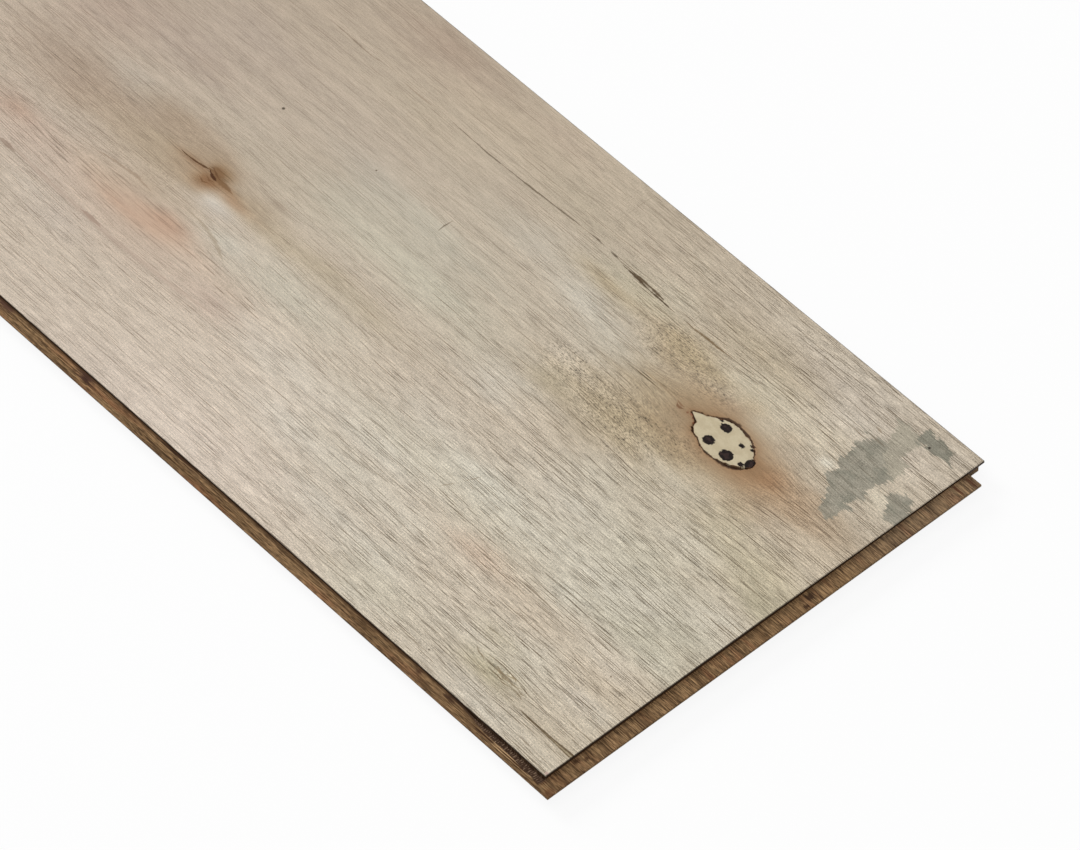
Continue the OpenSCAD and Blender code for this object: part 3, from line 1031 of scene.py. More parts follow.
    @staticmethod
    def crispness(d: Array, s: Array) -> Array:
        """How hard the face was brushed: fully at the tongue end, and less further on.

        Between d of 60 and 215 it falls by 0.36 along the tongue edge and by 0.62 along the groove
        edge. The pink wood then takes off up to 0.7 of it, and the small knot 0.6 of that.

        Args:
            d: places along the plank.
            s: places across the plank.

        Returns:
            1 for fully brushed, 0 for smooth.
        """
        brushed = 1.0 - smooth(d, 60, 215) * (0.36 + 0.26 * smooth(s, 60, 130))
        pink, knot = near(d, s, (262, 57), 30, 9), near(d, s, (258, 84), 26, 12)
        return brushed * (1.0 - 0.7 * np.maximum(pink, 0.6 * knot))

    def stain(self, d: Array, s: Array) -> Array:
        """Distance to the dark grey mineral stains, as far as no_stain."""
        away = [outline_distance(d, s, one) for one in (MAIN_STAIN, EDGE_STAIN, LOW_STAIN)]
        return np.minimum(np.minimum.reduce(away), self.no_stain)

    def relief(self, void: Array) -> Array:
        """Depth below the face in millimetres: nothing outside the void, the pit's depth inside."""
        return min(self.thickness - self.left_under_pit, self.pit_depth) * smooth(-void, -0.15, 0.35)

    def build(self) -> bpy.types.Object:
        """Makes the slab.

        The top is a grid of lines that lie closer where there is more to show. Three rings go
        round it on the walls: at the bevel's lower edge, halfway down and at the underside. Strips
        from side to side close the bottom.

        Returns:
            The veneer as a mesh object.
        """
        edge = self.bevel
        along = spaced((*self.spacing_along, (self.length - edge, 0)))
        across = spaced((*self.spacing_across, (self.width - edge, 0)))
        d, s = np.meshgrid(along[::-1], across, indexing="ij")
        void = outline_distance(d, s, VOID_OUTLINE)
        top = np.stack([self.high[0] - d * MM, self.low[1] + s * MM,
                        self.high[2] - self.relief(void) * MM], axis=-1)
        rows, columns = d.shape
        number = np.arange(rows * columns).reshape(rows, columns)
        quads = np.stack([number[:-1, :-1], number[1:, :-1], number[1:, 1:], number[:-1, 1:]], axis=-1)

        ring = np.concatenate([number[:, 0], number[-1, 1:], number[-2::-1, -1], number[0, -2:0:-1]])
        ring_d, ring_s = d.ravel()[ring], s.ravel()[ring]
        out_d = np.where(ring_d <= edge, 0.0, np.where(ring_d >= self.length - edge, self.length, ring_d))
        out_s = np.where(ring_s <= edge, 0.0, np.where(ring_s >= self.width - edge, self.width, ring_s))
        levels = (edge, self.thickness * 0.5, self.thickness)
        walls = [np.stack([self.high[0] - out_d * MM, self.low[1] + out_s * MM,
                           np.full(len(ring), self.high[2] - level * MM)], axis=-1) for level in levels]
        points = np.concatenate([top.reshape(-1, 3), *walls])

        loops = [ring] + [rows * columns + k * len(ring) + np.arange(len(ring)) for k in range(len(levels))]
        strips = [np.stack([np.roll(low, -1), np.roll(high, -1), high, low], axis=-1)
                  for high, low in zip(loops, loops[1:])]
        last = loops[-1]
        left, right = last[:rows], last[rows + columns - 2 : 2 * rows + columns - 2][::-1]
        middle = np.stack([left[1:-2], right[1:-2], right[2:-1], left[2:-1]], axis=-1)
        far_cap = np.concatenate([[left[1], left[0]], last[: rows + columns - 3 : -1], [right[1]]])
        near_cap = np.concatenate([[right[-2]], last[rows + columns - 2 : rows - 2 : -1], [left[-2]]])
        piece = new_mesh("face_veneer_board", points,
                         [quads.reshape(-1, 4), *strips, middle, far_cap, near_cap])

        depth = np.repeat(levels, len(ring))
        wall_d, wall_s = np.tile(out_d, len(levels)), np.tile(out_s, len(levels))
        self.paint(piece, np.append(d, wall_d), np.append(s, wall_s),
                   np.append(np.zeros(d.size), depth), np.append(void, np.full(depth.size, self.no_void)))
        return piece

    def paint(self, piece: bpy.types.Object, d: Array, s: Array, below: Array, void: Array) -> None:
        """Stores what the material reads at each point of the slab.

        Args:
            piece: the slab.
            d: places along the plank.
            s: places across the plank.
            below: depths down the walls, 0 on the face.
            void: distances to the void's outline.
        """
        grain_d, grain_s = self.flow(d, s)
        over_edge = np.where(s <= 0, -below, np.where(s >= self.width, below, 0.0))
        pale = np.clip(outline_distance(d, s, PALE_STAIN), self.deep_inside, self.far_outside)
        clipped = np.clip(void, self.deep_inside, self.no_void)
        store(piece, "grain", np.stack([grain_d, grain_s + over_edge, below], axis=-1))
        store(piece, "marks", np.stack([self.mottle(d, s), self.stain(d, s), clipped], axis=-1))
        store(piece, "brush", np.stack([pale, self.crispness(d, s), np.zeros(d.shape)], axis=-1))
        store(piece, "tone", self.tone(d, s, void))

    def dress(self, piece: bpy.types.Object) -> None:
        """Gives the veneer its lacquered, brushed and stained surface."""
        piece.data.materials.append(FaceFinish(self).material)


class FaceFinish(Surface):
    """The veneer's lacquered, brushed and stained surface.

    d, s: place on the plank. u, v, below: place in the grain, and depth down a wall. stain, void,
    pale: distances to outlines. mottle, crisp: how speckled and how brushed the wood is. sway: v
    in slow waves. streak, thread, grit, speck: noise about 0, from broad to fine. plain: strength
    of the fine lines. drawn: the dark hairlines. gain: lightness.
    """

    def __init__(self, veneer: FaceVeneer) -> None:
        """Reads the places and makes the noises that the layers share, and lays all of them.

        Args:
            veneer: the veneer that wears the material.
        """
        super().__init__("matt lacquered face veneer", roughness=0.52, specular=0.12)
        self.width = veneer.width
        x, y, _ = self.place()
        self.d, self.s = (float(veneer.high[0]) - x) / MM, (y - float(veneer.low[1])) / MM
        self.u, self.v, self.below = self.vector("grain")
        self.mottle, self.stain, self.void = self.vector("marks")
        self.pale, self.crisp, _ = self.vector("brush")
        self.sway = self.v + 0.5 * (self.noise(self.u / 22, self.v / 5, detail=0) - 0.5)
        self.streak = self.noise(self.u / 20 + 40, self.sway / 0.75, detail=0) - 0.5
        self.thread = self.noise(self.u / 5.6 + 90, self.sway / 0.25, detail=1, rough=0.6) - 0.5
        self.grit = self.noise(self.d / 0.6 + 11, self.s / 0.25 + 5, detail=0) - 0.5
        self.speck = self.noise(self.u / 1.3 + 60, self.sway / 0.3 + 9, detail=2, rough=0.6) - 0.5
        calm = self.void.step(0.0, 13.0).of(0.25, 1.0)
        self.plain = self.crisp * (1.0 - 0.25 * self.mottle) * calm
        self.drawn = self.dark_hairlines()
        self.gain = self.lightness()

        self.laid = self.shade(self.colour("tone"), self.gain)
        self.over(self.drawn, (118, 102, 76), "MULTIPLY")
        self.lay_stains()
        self.lay_burnt_rim()
        self.lay_marks()
        self.lay_bare_wood_and_wall_shade()
        height = self.crisp * (0.7 * self.thread - 0.5 * self.drawn) + 0.3 * self.streak
        self.connect(height + 0.5 * (self.mottle * self.speck), depth_mm=0.10)

    def dark_hairlines(self) -> Wire:
        """Draws dark brushed lines in two spacings, busier here and calmer there.

        Returns:
            1 in the middle of a line, 0 off it.
        """
        busy = self.noise(self.u / 26 + 3, self.v / 4 + 8, detail=1, rough=0.6)
        lines = self.hairlines(self.u + 17, self.sway, 0.61, 9, 0.11).most(
            self.hairlines(self.u + 71, self.sway + 0.4, 0.89, 20, 0.13))
        return self.plain * (lines * busy.step(0.26, 0.52)) * self.void.step(3.0, 22.0)

    def lightness(self) -> Wire:
        """Adds figure, streaks, threads and pale hairlines, from broad to fine, and the speckled beds.

        Returns:
            What the ground colour is multiplied by, about 1.
        """
        figure = self.noise(self.u / 80, self.sway / 3.2, detail=1, rough=0.5) - 0.5
        cloud = self.noise(self.d / 4.5 + 14, self.s / 2.4, detail=1, rough=0.6) - 0.5
        pale_lines = self.hairlines(self.u + 33, self.sway + 0.2, 0.83, 10, 0.13)
        fine = 1.22 * self.thread + 0.85 * self.grit + 0.12 * pale_lines
        rough_bed = 3.5 * self.speck.least(0.05) + 0.85 * cloud.least(0.12) + 0.09
        broad = 1.04 + 0.25 * figure + 0.09 * self.streak
        return broad + self.plain * fine + self.mottle * rough_bed

    def lay_stains(self) -> None:
        """Lays grey mineral stains with edges drawn out along the grain."""
        soft = self.noise(self.u / 3.2 + 5, self.sway / 1.0, detail=1)
        fray = 0.65 * soft + 0.35 * self.thread - 0.325
        patchy = self.noise(self.d / 5, self.s / 4 + 3, detail=2) - 0.5
        grey = (self.stain + 6.0 * fray).step(0.2, -0.2)
        haze = (self.pale + 6.0 * fray).step(0.7, -0.5)
        depth = (patchy * 2.0 + 0.6 - 0.6 * self.s.step(175, 179)).step(0.1, 0.9)
        grey_tone = self.shade(self.blend(depth, (135, 132, 118), (155, 149, 134)),
                               1.0 + 0.7 * self.thread + 0.2 * self.streak + 0.75 * self.grit)
        grey_tone = self.blend(self.drawn * 0.7, grey_tone, (160, 150, 130), "MULTIPLY")
        self.over(haze * 0.85, self.shade(self.plain_colour((158, 151, 134)), self.gain))
        self.over(grey * self.s.step(134, 144).of(0.78, 0.96), grey_tone)

    def lay_burnt_rim(self) -> None:
        """Lays the burnt rim of the void and the dark wood down in it."""
        clot = self.noise(self.d / 1.6, self.s / 0.8, detail=2, rough=0.6) - 0.5
        self.over((self.void + 2.0 * clot).step(0.42, 0.0), (64, 41, 27))

    def lay_marks(self) -> None:
        """Lays the cracks, veins and scratches, then the pin knots."""
        ragged = 0.35 + 1.3 * self.noise(self.d / 1.6 + 21, self.s / 1.6, detail=2, rough=0.6)
        shaken = self.s + 0.45 * (self.thread + self.streak)
        for line in LINES:
            self.over(self.on_line(shaken, ragged, line), line.colour)
        for dot in DOTS:
            away = self.away(self.d, self.s, dot)
            self.over((away + 0.8 * self.thread).step(1.25, 0.6, 0.9), dot.colour)

    def on_line(self, shaken: Wire, ragged: Wire, line: Line) -> Wire:
        """Strength of one line at a place: full in its middle, 0 beyond its half width.

        Args:
            shaken: place across the plank, shaken by the grain.
            ragged: how much wider or narrower the line is at the place.
            line: the line.

        Returns:
            How far the colour turns to the line's.
        """
        along, across = (self.d, shaken) if line.run is Run.ALONG else (shaken, self.d)
        start, end = line.path[0][0], line.path[-1][0]
        share = (along - start) / (end - start)
        places = [(at - start) / (end - start) for at, _, _ in line.path]
        middle = self.curve(share, places, [centre for _, centre, _ in line.path])
        half = self.curve(share, places, [width for _, _, width in line.path])
        off = (across - middle).size() / (half * ragged + 0.001)
        return off.step(1.6, 0.5, line.strength)

    def lay_bare_wood_and_wall_shade(self) -> None:
        """Lays bare brown wood on the cut walls and on the bevel along the groove edge, and painted shade:
        near black down the upper walls and over the face's arrises at the tongue end and the tongue edge.
        """
        lip = (self.s + 0.5 * self.thread).step(self.width - 0.45, self.width - 0.2)
        bare = self.noise(self.u / 3, self.v / 0.3, detail=1)
        # Painted shade: the upper walls are near black, as shade under the face's edge; the lower walls are
        # the bare brown wood.
        upper = self.blend(bare, (20, 8, 1), (42, 24, 10))
        lower = self.blend(bare, (58, 38, 22), (94, 68, 44))
        late = self.s.step(0.3, 0.0).most(self.s.step(80, 150))
        brown = self.blend((self.below - 0.3 * late).step(0.4, 0.8), upper, lower)
        # Painted shade: the face's arris is darkened at the tongue end and along the tongue edge, widening
        # the dark line of the shaded wall.
        end_arris = (self.d + 0.3 * self.thread).step(0.5, 0.3) * (1.0 - late)
        arris = end_arris.most((self.s + 0.3 * self.thread).step(0.24, 0.08))
        on_the_walls = (self.below - 0.15 * late + 0.1 * self.thread).step(0.02, 0.2)
        self.over(on_the_walls.most(lip * 0.8).most(arris * 0.8), brown)


@dataclass
class KnotFiller:
    """The cream filler in the knot's void, with dark spots in it.

    veneer: the veneer with the void. outline: the filler's edge. spots: (d, s, along, across) of
    the dark spots. steps, rings: its grid round and outwards. sunk: how far it lies below the
    face. rise: how far its top swells and sinks. rolled: how far its edge turns down. above_pit:
    its underside over the void's floor. far_from_spots, far_from_rim: stored where neither is near.
    """

    veneer: FaceVeneer
    outline: Pairs = (
        (48.4, 132.6), (50.4, 130.6), (52.4, 129.2), (55.0, 127.9), (58.0, 126.9), (62.5, 126.6),
        (66.3, 127.2), (68.8, 128.6), (71.6, 129.1), (73.2, 130.4), (74.0, 132.8), (75.4, 133.5),
        (78.2, 134.7), (76.6, 135.7), (73.6, 136.8), (70.2, 138.8), (67.2, 140.5), (64.5, 141.0),
        (60.0, 140.5), (55.6, 139.5), (52.8, 138.2), (51.0, 136.0), (48.8, 134.8),
    )
    spots: tuple[tuple[float, float, float, float], ...] = (
        (57.3, 130.2, 2.65, 2.15), (65.9, 130.4, 2.2, 1.85), (65.7, 138.0, 2.2, 1.7),
        (49.4, 133.5, 1.75, 2.3), (51.4, 131.0, 1.05, 0.95), (56.9, 136.6, 1.25, 0.75),
        (53.0, 138.0, 1.0, 0.65), (69.2, 139.3, 1.0, 0.6), (54.4, 138.9, 0.7, 0.5),
    )
    steps: int = 240
    rings: int = 34
    sunk: float = 0.05
    rise: float = 0.03
    rolled: float = 0.05
    above_pit: float = 0.05
    far_from_spots: float = 9.0
    far_from_rim: float = 6.0

    def __post_init__(self) -> None:
        """Starts the noise that frays the edge and waves the top."""
        self.noise = ValueNoise(SEED + 2)

    def reach(self, angle: Array) -> Array:
        """Distance from the middle to the outline at an angle, with a torn edge.

        The corners are joined along the angle, and noise frays the result by up to 0.28.

        Args:
            angle: directions in radians, from the groove end round to the groove edge.

        Returns:
            Distances in millimetres.
        """
        corners = np.array(self.outline) - VOID_MIDDLE
        at = np.arctan2(corners[:, 1], -corners[:, 0])
        order = np.argsort(at)
        far = np.hypot(*corners.T)[order]
        base = np.interp(angle, at[order], far, period=2 * math.pi)
        ripple = self.noise(angle * 9.5, np.full(angle.shape, 3.0), 3)
        return base + 0.28 * ripple

    def build(self) -> bpy.types.Object:
        """Makes the filler.

        The top is a grid of the angle round the middle and the share of the way out to the edge.
        It swells and sinks with noise and turns down over the last tenth. A wall joins its last
        ring to a flat underside.

        Returns:
            The filler as a mesh object.
        """
        angle = np.linspace(0, 2 * math.pi, self.steps, endpoint=False)
        share = np.linspace(0, 1, self.rings + 1)[1:, None]
        edge = self.reach(angle)[None, :]
        reach = edge * share
        d = VOID_MIDDLE[0] - reach * np.cos(angle)
        s = VOID_MIDDLE[1] + reach * np.sin(angle)
        wavy = self.rise * self.noise(d / 2.5, s / 2.5) + self.rolled * smooth(share, 0.9, 1.0)
        top = self.corner(d, s, self.sunk + np.maximum(wavy, -self.rise))
        floor_depth = self.veneer.pit_depth - self.above_pit
        lowest = self.corner(d[-1], s[-1], np.full(self.steps, floor_depth))
        middle = self.corner(*(np.array([v]) for v in (*VOID_MIDDLE, self.sunk)))
        points = np.concatenate([top.reshape(-1, 3), lowest, middle])

        number = np.arange(self.rings * self.steps).reshape(self.rings, self.steps)
        after = np.roll(number, -1, axis=1)
        quads = np.stack([number[:-1], number[1:], after[1:], after[:-1]], axis=-1).reshape(-1, 4)
        base = self.rings * self.steps + np.arange(self.steps)
        wall = np.stack([number[-1], base, np.roll(base, -1), after[-1]], axis=-1)
        centre = np.full(self.steps, len(points) - 1)
        fan = np.stack([centre, number[0], after[0]], axis=-1)
        piece = new_mesh("knot_filler_cast", points, [quads, wall, fan, base[::-1]])

        all_d = np.concatenate([d.ravel(), d[-1], [VOID_MIDDLE[0]]])
        all_s = np.concatenate([s.ravel(), s[-1], [VOID_MIDDLE[1]]])
        spots = np.full(all_d.shape, self.far_from_spots)
        for spot_d, spot_s, along, across in self.spots:
            away = np.hypot((all_d - spot_d) / along, (all_s - spot_s) / across) - 1
            spots = np.minimum(spots, away * min(along, across))
        inward = (edge * (1 - share)).ravel()
        rim = np.concatenate([inward, np.zeros(self.steps), [self.far_from_rim]])
        store(piece, "cast", np.stack([spots, rim, np.zeros_like(spots)], axis=-1))
        return piece

    def corner(self, d: Array, s: Array, depth: Array) -> Array:
        """Turns places and depths in millimetres into points in metres."""
        high, low = self.veneer.high, self.veneer.low
        return np.stack([high[0] - d * MM, low[1] + s * MM, high[2] - depth * MM], axis=-1)

    def dress(self, piece: bpy.types.Object) -> None:
        """Gives the filler its cream body, purplish dark spots and brown stains along its edge.

        Args:
            piece: the filler.
        """
        body = Surface("cream knot filler", roughness=0.5, specular=0.12)
        x, y, _ = body.place()
        d, s = x / MM, y / MM
        spots, rim, _ = body.vector("cast")
        cloud = body.noise(d / 5, s / 3, detail=3, rough=0.6)
        grit = body.noise(d / 0.5, s / 0.5, detail=1) - 0.5
        fray = body.noise(d / 0.9 + 4, s / 0.9, detail=2, rough=0.65) - 0.5
        cream = body.blend(cloud.step(0.35, 0.65), (197, 184, 155), (188, 174, 145))
        body.laid = body.shade(cream, 1.0 + 0.12 * grit)
        bloom = body.noise(d / 1.3 + 2, s / 1.1, detail=2)
        ripe = (bloom + 0.2 * (0 - spots) - 0.12).step(0.5, 0.75)
        body.over((spots + 1.1 * fray).step(0.08, -0.1), body.blend(ripe, (20, 11, 8), (48, 34, 31)))
        stained = body.noise(d / 2.2 + 8, s / 2.2, detail=1)
        body.over((rim + 0.5 * fray).step(0.3, 0.0) * stained.step(0.35, 0.6) * 0.85, (112, 76, 50))
        body.connect(0.5 * grit - 1.0 * (spots + 1.1 * fray).step(0.15, -0.3), depth_mm=0.06)
        piece.data.materials.append(body.material)


class Grain(Enum):
    """Which way the fibres of a ply run."""

    ALONG = "along"
    ACROSS = "across"


@dataclass(frozen=True)
class PlyFinish:
    """Bare sawn ply.

    name: the material's name. grain: the way of its fibres. light, dark: display values of its
    pale and dark wood. rust: of its reddish wood. vein: of its darkest veins. fine: how wide its
    fibres are, in millimetres. spots: knots and torn places in it.
    """

    name: str
    grain: Grain
    light: Colour
    dark: Colour
    rust: Colour
    vein: Colour
    fine: float
    spots: tuple[Dot, ...] = ()

    def material(self, end: float, side: float) -> bpy.types.Material:
        """Makes the ply's material.

        Args:
            end: x of the face's tongue end, in metres.
            side: y of the face's tongue edge, in metres.

        Returns:
            The material, a solid pattern that runs through the ply.
        """
        wood = Surface(self.name, roughness=0.7, specular=0.08)
        x, y, z = wood.place()
        d, s, h = (end - x) / MM, (y - side) / MM, z / MM
        along, across = (d, s) if self.grain is Grain.ALONG else (s, d)
        bend = across + 1.1 * (wood.noise(along / 55, across / 14, h / 9, detail=1) - 0.5)
        figure = wood.noise(along / 60, bend / 6, h / 3, detail=2, rough=0.6)
        row, level = bend / self.fine, h / self.fine
        streak = wood.noise(along / 12 + 30, row, level, detail=1, rough=0.65)
        thread = wood.noise(along / 3.2 + 9, row / 0.85, level / 0.85, detail=1, rough=0.6)
        pore = wood.noise(along / 3.5 + 5, row / 1.1, level / 1.1, detail=1, rough=0.6).step(0.56, 0.68)

        wood.laid = wood.blend((0.45 * figure + 0.55 * streak).step(0.38, 0.62), self.dark, self.light)
        rust = wood.noise(along / 30 + 60, bend / 5, h / 5, detail=2).step(0.5, 0.72)
        wood.over(rust * 0.5, self.rust)
        wood.laid = wood.shade(wood.laid, 1.29 + 2.7 * (thread - 0.5) + 0.5 * (streak - 0.5))

        # Paler and greyer towards the groove edge. Dark veins and pores, knots, and broken fibres on top.
        wood.over(s.step(120, 150, 0.25), (150, 132, 110))
        vein = wood.noise(along / 30 + 70, bend / 2.4, h / 2, detail=1).step(0.60, 0.72)
        wood.over((pore * 0.55).most(vein * 0.45), self.vein)
        shake = 2.4 * (streak - 0.5) + 1.2 * (thread - 0.5)
        for spot in self.spots:
            wood.over((wood.away(d, s, spot) + shake).step(1.25, 0.55, 0.85), spot.colour)
        hairs = wood.hairlines(along, bend + 0.7 * h, 0.53, 3.0, 0.11).most(
            wood.hairlines(along + 50, bend + 0.7 * h + 0.3, 0.91, 7.0, 0.15))
        wood.over(hairs * 0.85, self.vein)
        self.lay_side_shade_and_torn_wedge(wood, d, s, shake)
        wood.connect(0.6 * thread + 0.4 * streak - 0.5 * pore, depth_mm=0.14)
        return wood.material

    @staticmethod
    def lay_side_shade_and_torn_wedge(wood: Surface, d: Wire, s: Wire, shake: Wire) -> None:
        """Paints shade on the side tongue along the foot of the face's wall, and darkens its torn wedge by
        the near corner.

        The wedge reaches 2.3 out from the face as far as d of 26 and then narrows to nothing at
        46. Pale ticks run across it, and pale splinters lie along its outer edge.

        Args:
            wood: the material.
            d: place along the plank.
            s: place across the plank.
            shake: how far the grain moves an edge.
        """
        outside = s.step(0.3, -0.1)
        # Painted shade: a dark band along the side tongue at the foot of the face's wall.
        wood.over((s + 0.5 * shake).step(-1.0, -0.2, 0.65) * outside, (60, 39, 25))
        below = s + 2.3 - (d - 26).most(0) * 0.115 + 0.35 * shake
        beside = d.step(47, 41) * outside * d.step(-0.6, 0.4)
        ticks = wood.hairlines(s + 20, d + 0.15 * s, 0.83, 1.6, 0.16).most(
            wood.hairlines(s + 50, d + 0.15 * s + 0.4, 0.61, 1.2, 0.1) * 0.6)
        wedge = wood.blend(ticks * d.step(36, 28, 0.9), (60, 42, 30), (164, 138, 114))
        wood.over(below.step(-0.15, 0.3) * beside * 0.9, wedge)
        dash = (s + 2.9 + 0.3 * shake).size().step(0.3, 0.1)
        wood.over(dash * d.step(3, 6) * d.step(36, 28, 0.9), (60, 36, 22))
        strand = (s + 3.3 + 0.2 * shake).size().least((s + 2.45 + 0.2 * shake).size())
        wood.over(strand.step(0.2, 0.07) * d.step(3, 5) * d.step(23, 20, 0.85), (196, 162, 120))


@dataclass
class Core:
    """The brown plies under the veneer, kept as the frame's own solids.

    nodes: the frame's objects by name. veneer: the veneer, whose edges place the patterns.
    """

    nodes: dict[str, bpy.types.Object]
    veneer: FaceVeneer

    SPOTS = (
        Dot(-2.4, 110.6, 1.7, (48, 30, 19)), Dot(-4.6, 107.4, 1.0, (58, 38, 24)),
        Dot(-1.2, 11.6, 1.5, (54, 33, 18)), Dot(-2.6, 15.0, 1.2, (70, 47, 30)),
        Dot(-3.0, 176.0, 2.6, (96, 60, 40), 4.0), Dot(-2.6, 181.6, 3.2, (72, 42, 26), 4.0),
        Dot(-4.6, -2.8, 1.7, (104, 72, 48)), Dot(0.4, -1.5, 1.7, (74, 48, 31)),
        Dot(44.2, -0.8, 2.6, (64, 43, 30), 1.8), Dot(58.0, -1.1, 1.7, (80, 54, 38), 1.6),
        Dot(174.0, -0.2, 10.0, (58, 36, 26), 8.0), Dot(222.0, -0.4, 5.0, (74, 52, 40), 2.0),
        Dot(221.5, -1.3, 2.6, (76, 52, 42), 1.6), Dot(264.0, -0.6, 4.6, (82, 56, 46), 2.2),
    )
    LONG = PlyFinish("bare long-grain ply", Grain.ALONG, light=(134, 107, 76), dark=(89, 67, 44),
                     rust=(124, 82, 56), vein=(42, 26, 14), fine=0.27, spots=SPOTS)
    CROSS = PlyFinish("bare cross-grain ply", Grain.ACROSS, light=(92, 70, 51), dark=(62, 44, 31),
                      rust=(80, 54, 38), vein=(36, 24, 16), fine=0.23)
    PLIES = {
        "top_ply": LONG,
        "upper_cross_ply": CROSS,
        "middle_ply": LONG,
        "lower_cross_ply": CROSS,
        "back_ply": LONG,
    }

    def dress(self) -> None:
        """Gives each ply the finish of its grain."""
        end, side = float(self.veneer.high[0]), float(self.veneer.low[1])
        made = {finish.name: finish.material(end, side) for finish in (self.LONG, self.CROSS)}
        for node, finish in self.PLIES.items():
            mesh = self.nodes[node].data
            mesh.materials.clear()
            mesh.materials.append(made[finish.name])
            LOG.info("%s: keeps its solid, wears %s", node, finish.name)


# ---------------------------------------------------------------------------------------------
# Studio


@dataclass(frozen=True)
class Softbox:
    """A square lamp aimed at the plank.

    name: the lamp's name. azimuth, elevation: where it hangs, in degrees, azimuth 0 looking
    along +Y. distance: metres to the aim. size: its side in metres. power: watts.
    """

    name: str
    azimuth: float
    elevation: float
    distance: float
    size: float
    power: float


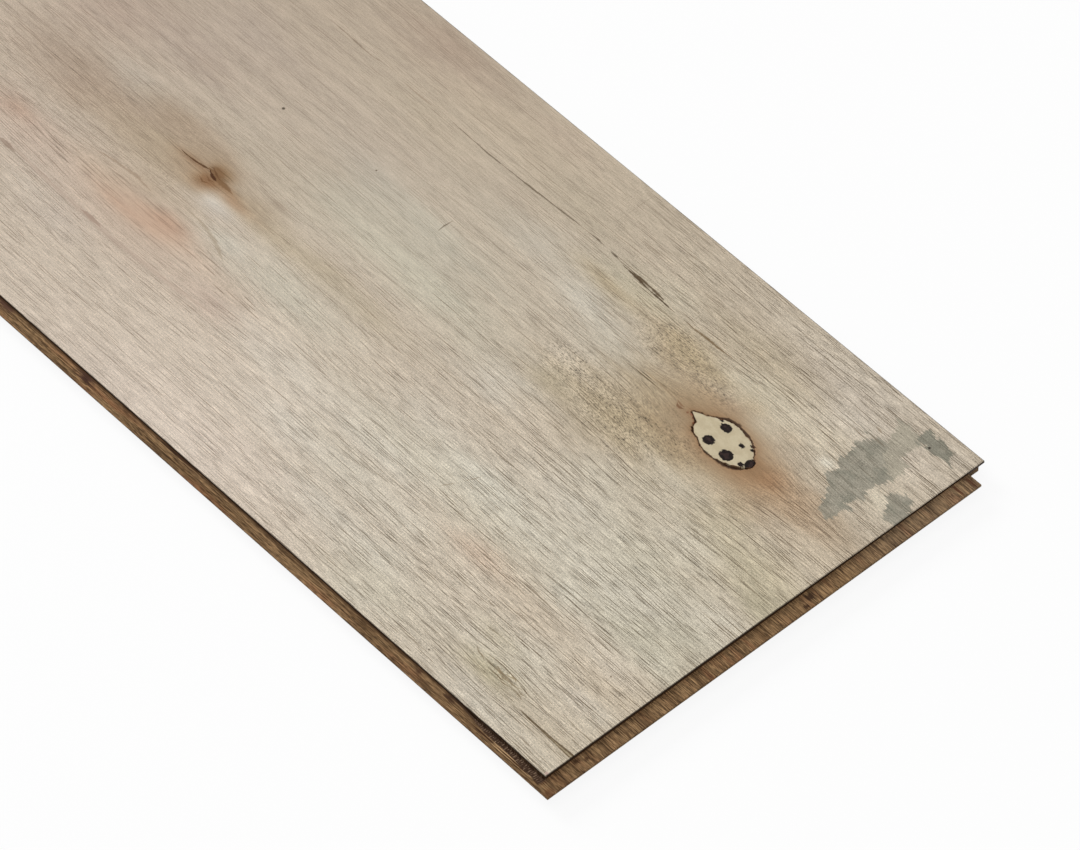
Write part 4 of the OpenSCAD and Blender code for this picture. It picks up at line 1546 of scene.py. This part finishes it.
@dataclass
class Studio:
    """Floor, lamps, background and camera.

    veneer: the veneer that the camera looks at. aim_d, aim_s: the point it looks at. azimuth,
    elevation: where it stands, in degrees. distance: metres to the aim. lens, sensor: its focal
    length and sensor width, in millimetres. clip_near, clip_far: how near and far it sees.
    floor_half: half the floor's side. floor_drop: how far it lies under the plank. opening_inset:
    how much smaller its opening is than the plank. These five are in metres. floor_grey: its
    colour. floor_glow: the share of white that it shows by itself. world_light: how strongly the
    background lights the scene.
    """

    veneer: FaceVeneer
    aim_d: float = 107.0
    aim_s: float = 94.16
    azimuth: float = 47.902
    elevation: float = 50.173
    distance: float = 2.4168
    lens: float = 249.07
    sensor: float = 36.0
    clip_near: float = 0.05
    clip_far: float = 200.0
    floor_half: float = 30.0
    floor_drop: float = 0.0001
    opening_inset: float = 0.004
    floor_grey: float = 0.86
    floor_glow: float = 0.9
    world_light: float = 0.3
    lamps: tuple[Softbox, ...] = (
        Softbox("key", 275, 30, 6.0, 2.4, 262),
        Softbox("top", 20, 78, 6.0, 5.4, 150),
        Softbox("fill", 60, 35, 6.0, 4.5, 64),
        Softbox("under", 60, -65, 6.0, 4.5, 240),
    )

    def __post_init__(self) -> None:
        """Takes the aim from the veneer's face."""
        high, low = self.veneer.high, self.veneer.low
        self.aim = Vector((float(high[0]) - self.aim_d * MM, float(low[1]) + self.aim_s * MM,
                           float(high[2])))

    @staticmethod
    def towards(azimuth: float, elevation: float) -> Vector:
        """Unit vector from the aim to a place seen at an azimuth and an elevation."""
        a, e = math.radians(azimuth), math.radians(elevation)
        return Vector((math.sin(a) * math.cos(e), -math.cos(a) * math.cos(e), math.sin(e)))

    def stand(self, thing: bpy.types.Object, azimuth: float, elevation: float, distance: float) -> None:
        """Hangs a lamp or the camera at a place and turns it to the aim.

        Args:
            thing: the lamp or camera.
            azimuth: degrees round the aim.
            elevation: degrees over it.
            distance: metres from it.
        """
        place = self.aim + self.towards(azimuth, elevation) * distance
        turn = (self.aim - place).to_track_quat("-Z", "Y")
        thing.matrix_world = Matrix.Translation(place) @ turn.to_matrix().to_4x4()

    def add_camera(self) -> None:
        """Adds the camera and makes it the scene's own."""
        lens = bpy.data.cameras.new("camera")
        lens.sensor_width, lens.lens = self.sensor, self.lens
        lens.clip_start, lens.clip_end = self.clip_near, self.clip_far
        camera = bpy.data.objects.new("camera", lens)
        bpy.context.scene.collection.objects.link(camera)
        self.stand(camera, self.azimuth, self.elevation, self.distance)
        bpy.context.scene.camera = camera

    def add_lamps(self) -> None:
        """Adds the soft lamps."""
        for box in self.lamps:
            lamp = bpy.data.lights.new(box.name, "AREA")
            lamp.shape, lamp.size, lamp.energy = "SQUARE", box.size, box.power
            holder = bpy.data.objects.new(box.name, lamp)
            bpy.context.scene.collection.objects.link(holder)
            self.stand(holder, box.azimuth, box.elevation, box.distance)

    def add_floor(self) -> None:
        """Adds a pale floor that looks white and keeps a light shadow.

        Four sides join an outer square to an opening under the plank, a little smaller than its
        underside. The plank covers the opening from above, and shows through it from below.
        """
        turns = np.array([(-1, -1), (1, -1), (1, 1), (-1, 1)])
        low, high = (np.array(corner)[:2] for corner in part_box("back_ply"))
        opening = (low + high) / 2 + turns * ((high - low) / 2 - self.opening_inset)
        flat = np.concatenate([turns * self.floor_half, opening])
        corners = np.column_stack([flat, np.full(len(flat), -self.floor_drop)])
        sides = np.array([(i, (i + 1) % 4, (i + 1) % 4 + 4, i + 4) for i in range(4)])
        floor = new_mesh("floor", corners, [sides])
        pale = Surface("pale floor", roughness=0.9, specular=0.0)
        pale.shader.inputs["Base Color"].default_value = (*[self.floor_grey] * 3, 1)
        glow = pale.node("ShaderNodeEmission")
        glow.inputs["Color"].default_value = (1, 1, 1, 1)
        glow.inputs["Strength"].default_value = 1.0
        mix = pale.node("ShaderNodeMixShader")
        pale.feed(mix.inputs[0], pale.seen() * self.floor_glow)
        pale.link(pale.shader.outputs[0], mix.inputs[1])
        pale.link(glow.outputs[0], mix.inputs[2])
        pale.link(mix.outputs[0], pale.output.inputs["Surface"])
        floor.data.materials.append(pale.material)

    def add_world(self) -> None:
        """Adds a white background that lights the scene only weakly."""
        world = bpy.data.worlds.new("studio")
        bpy.context.scene.world = world
        world.use_nodes = True
        sky = Graph(world.node_tree)
        back = sky.node("ShaderNodeBackground")
        sky.feed(back.inputs["Strength"], sky.seen().of(self.world_light, 1.0))
        output = sky.node("ShaderNodeOutputWorld")
        sky.link(back.outputs[0], output.inputs["Surface"])

    def build(self) -> None:
        """Sets up everything round the plank."""
        bpy.context.scene.view_settings.view_transform = "Standard"
        self.add_camera()
        self.add_lamps()
        self.add_floor()
        self.add_world()


def place(piece: bpy.types.Object, node: str, slot: str) -> None:
    """Lets a piece ride on the plank and stand for a CAD node, whose own part it hides.

    Args:
        piece: the new piece.
        node: the CAD node that it stands for.
        slot: not used.
    """
    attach(piece, "root")
    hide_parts(node)
    LOG.info("%s: %d faces, stands for %s", piece.name, len(piece.data.polygons), node)


def main() -> None:
    """Builds the plank's looks and the studio round it."""
    logging.basicConfig(level=logging.INFO, format="%(name)s: %(message)s")
    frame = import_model()

    veneer = FaceVeneer()
    board = veneer.build()
    veneer.dress(board)
    place(board, "face_veneer", "face_wood")

    filler = KnotFiller(veneer)
    cast = filler.build()
    filler.dress(cast)
    place(cast, "knot_filler", "filler")

    Core(frame["nodes"], veneer).dress()
    Studio(veneer).build()


if __name__ == "__main__":
    main()
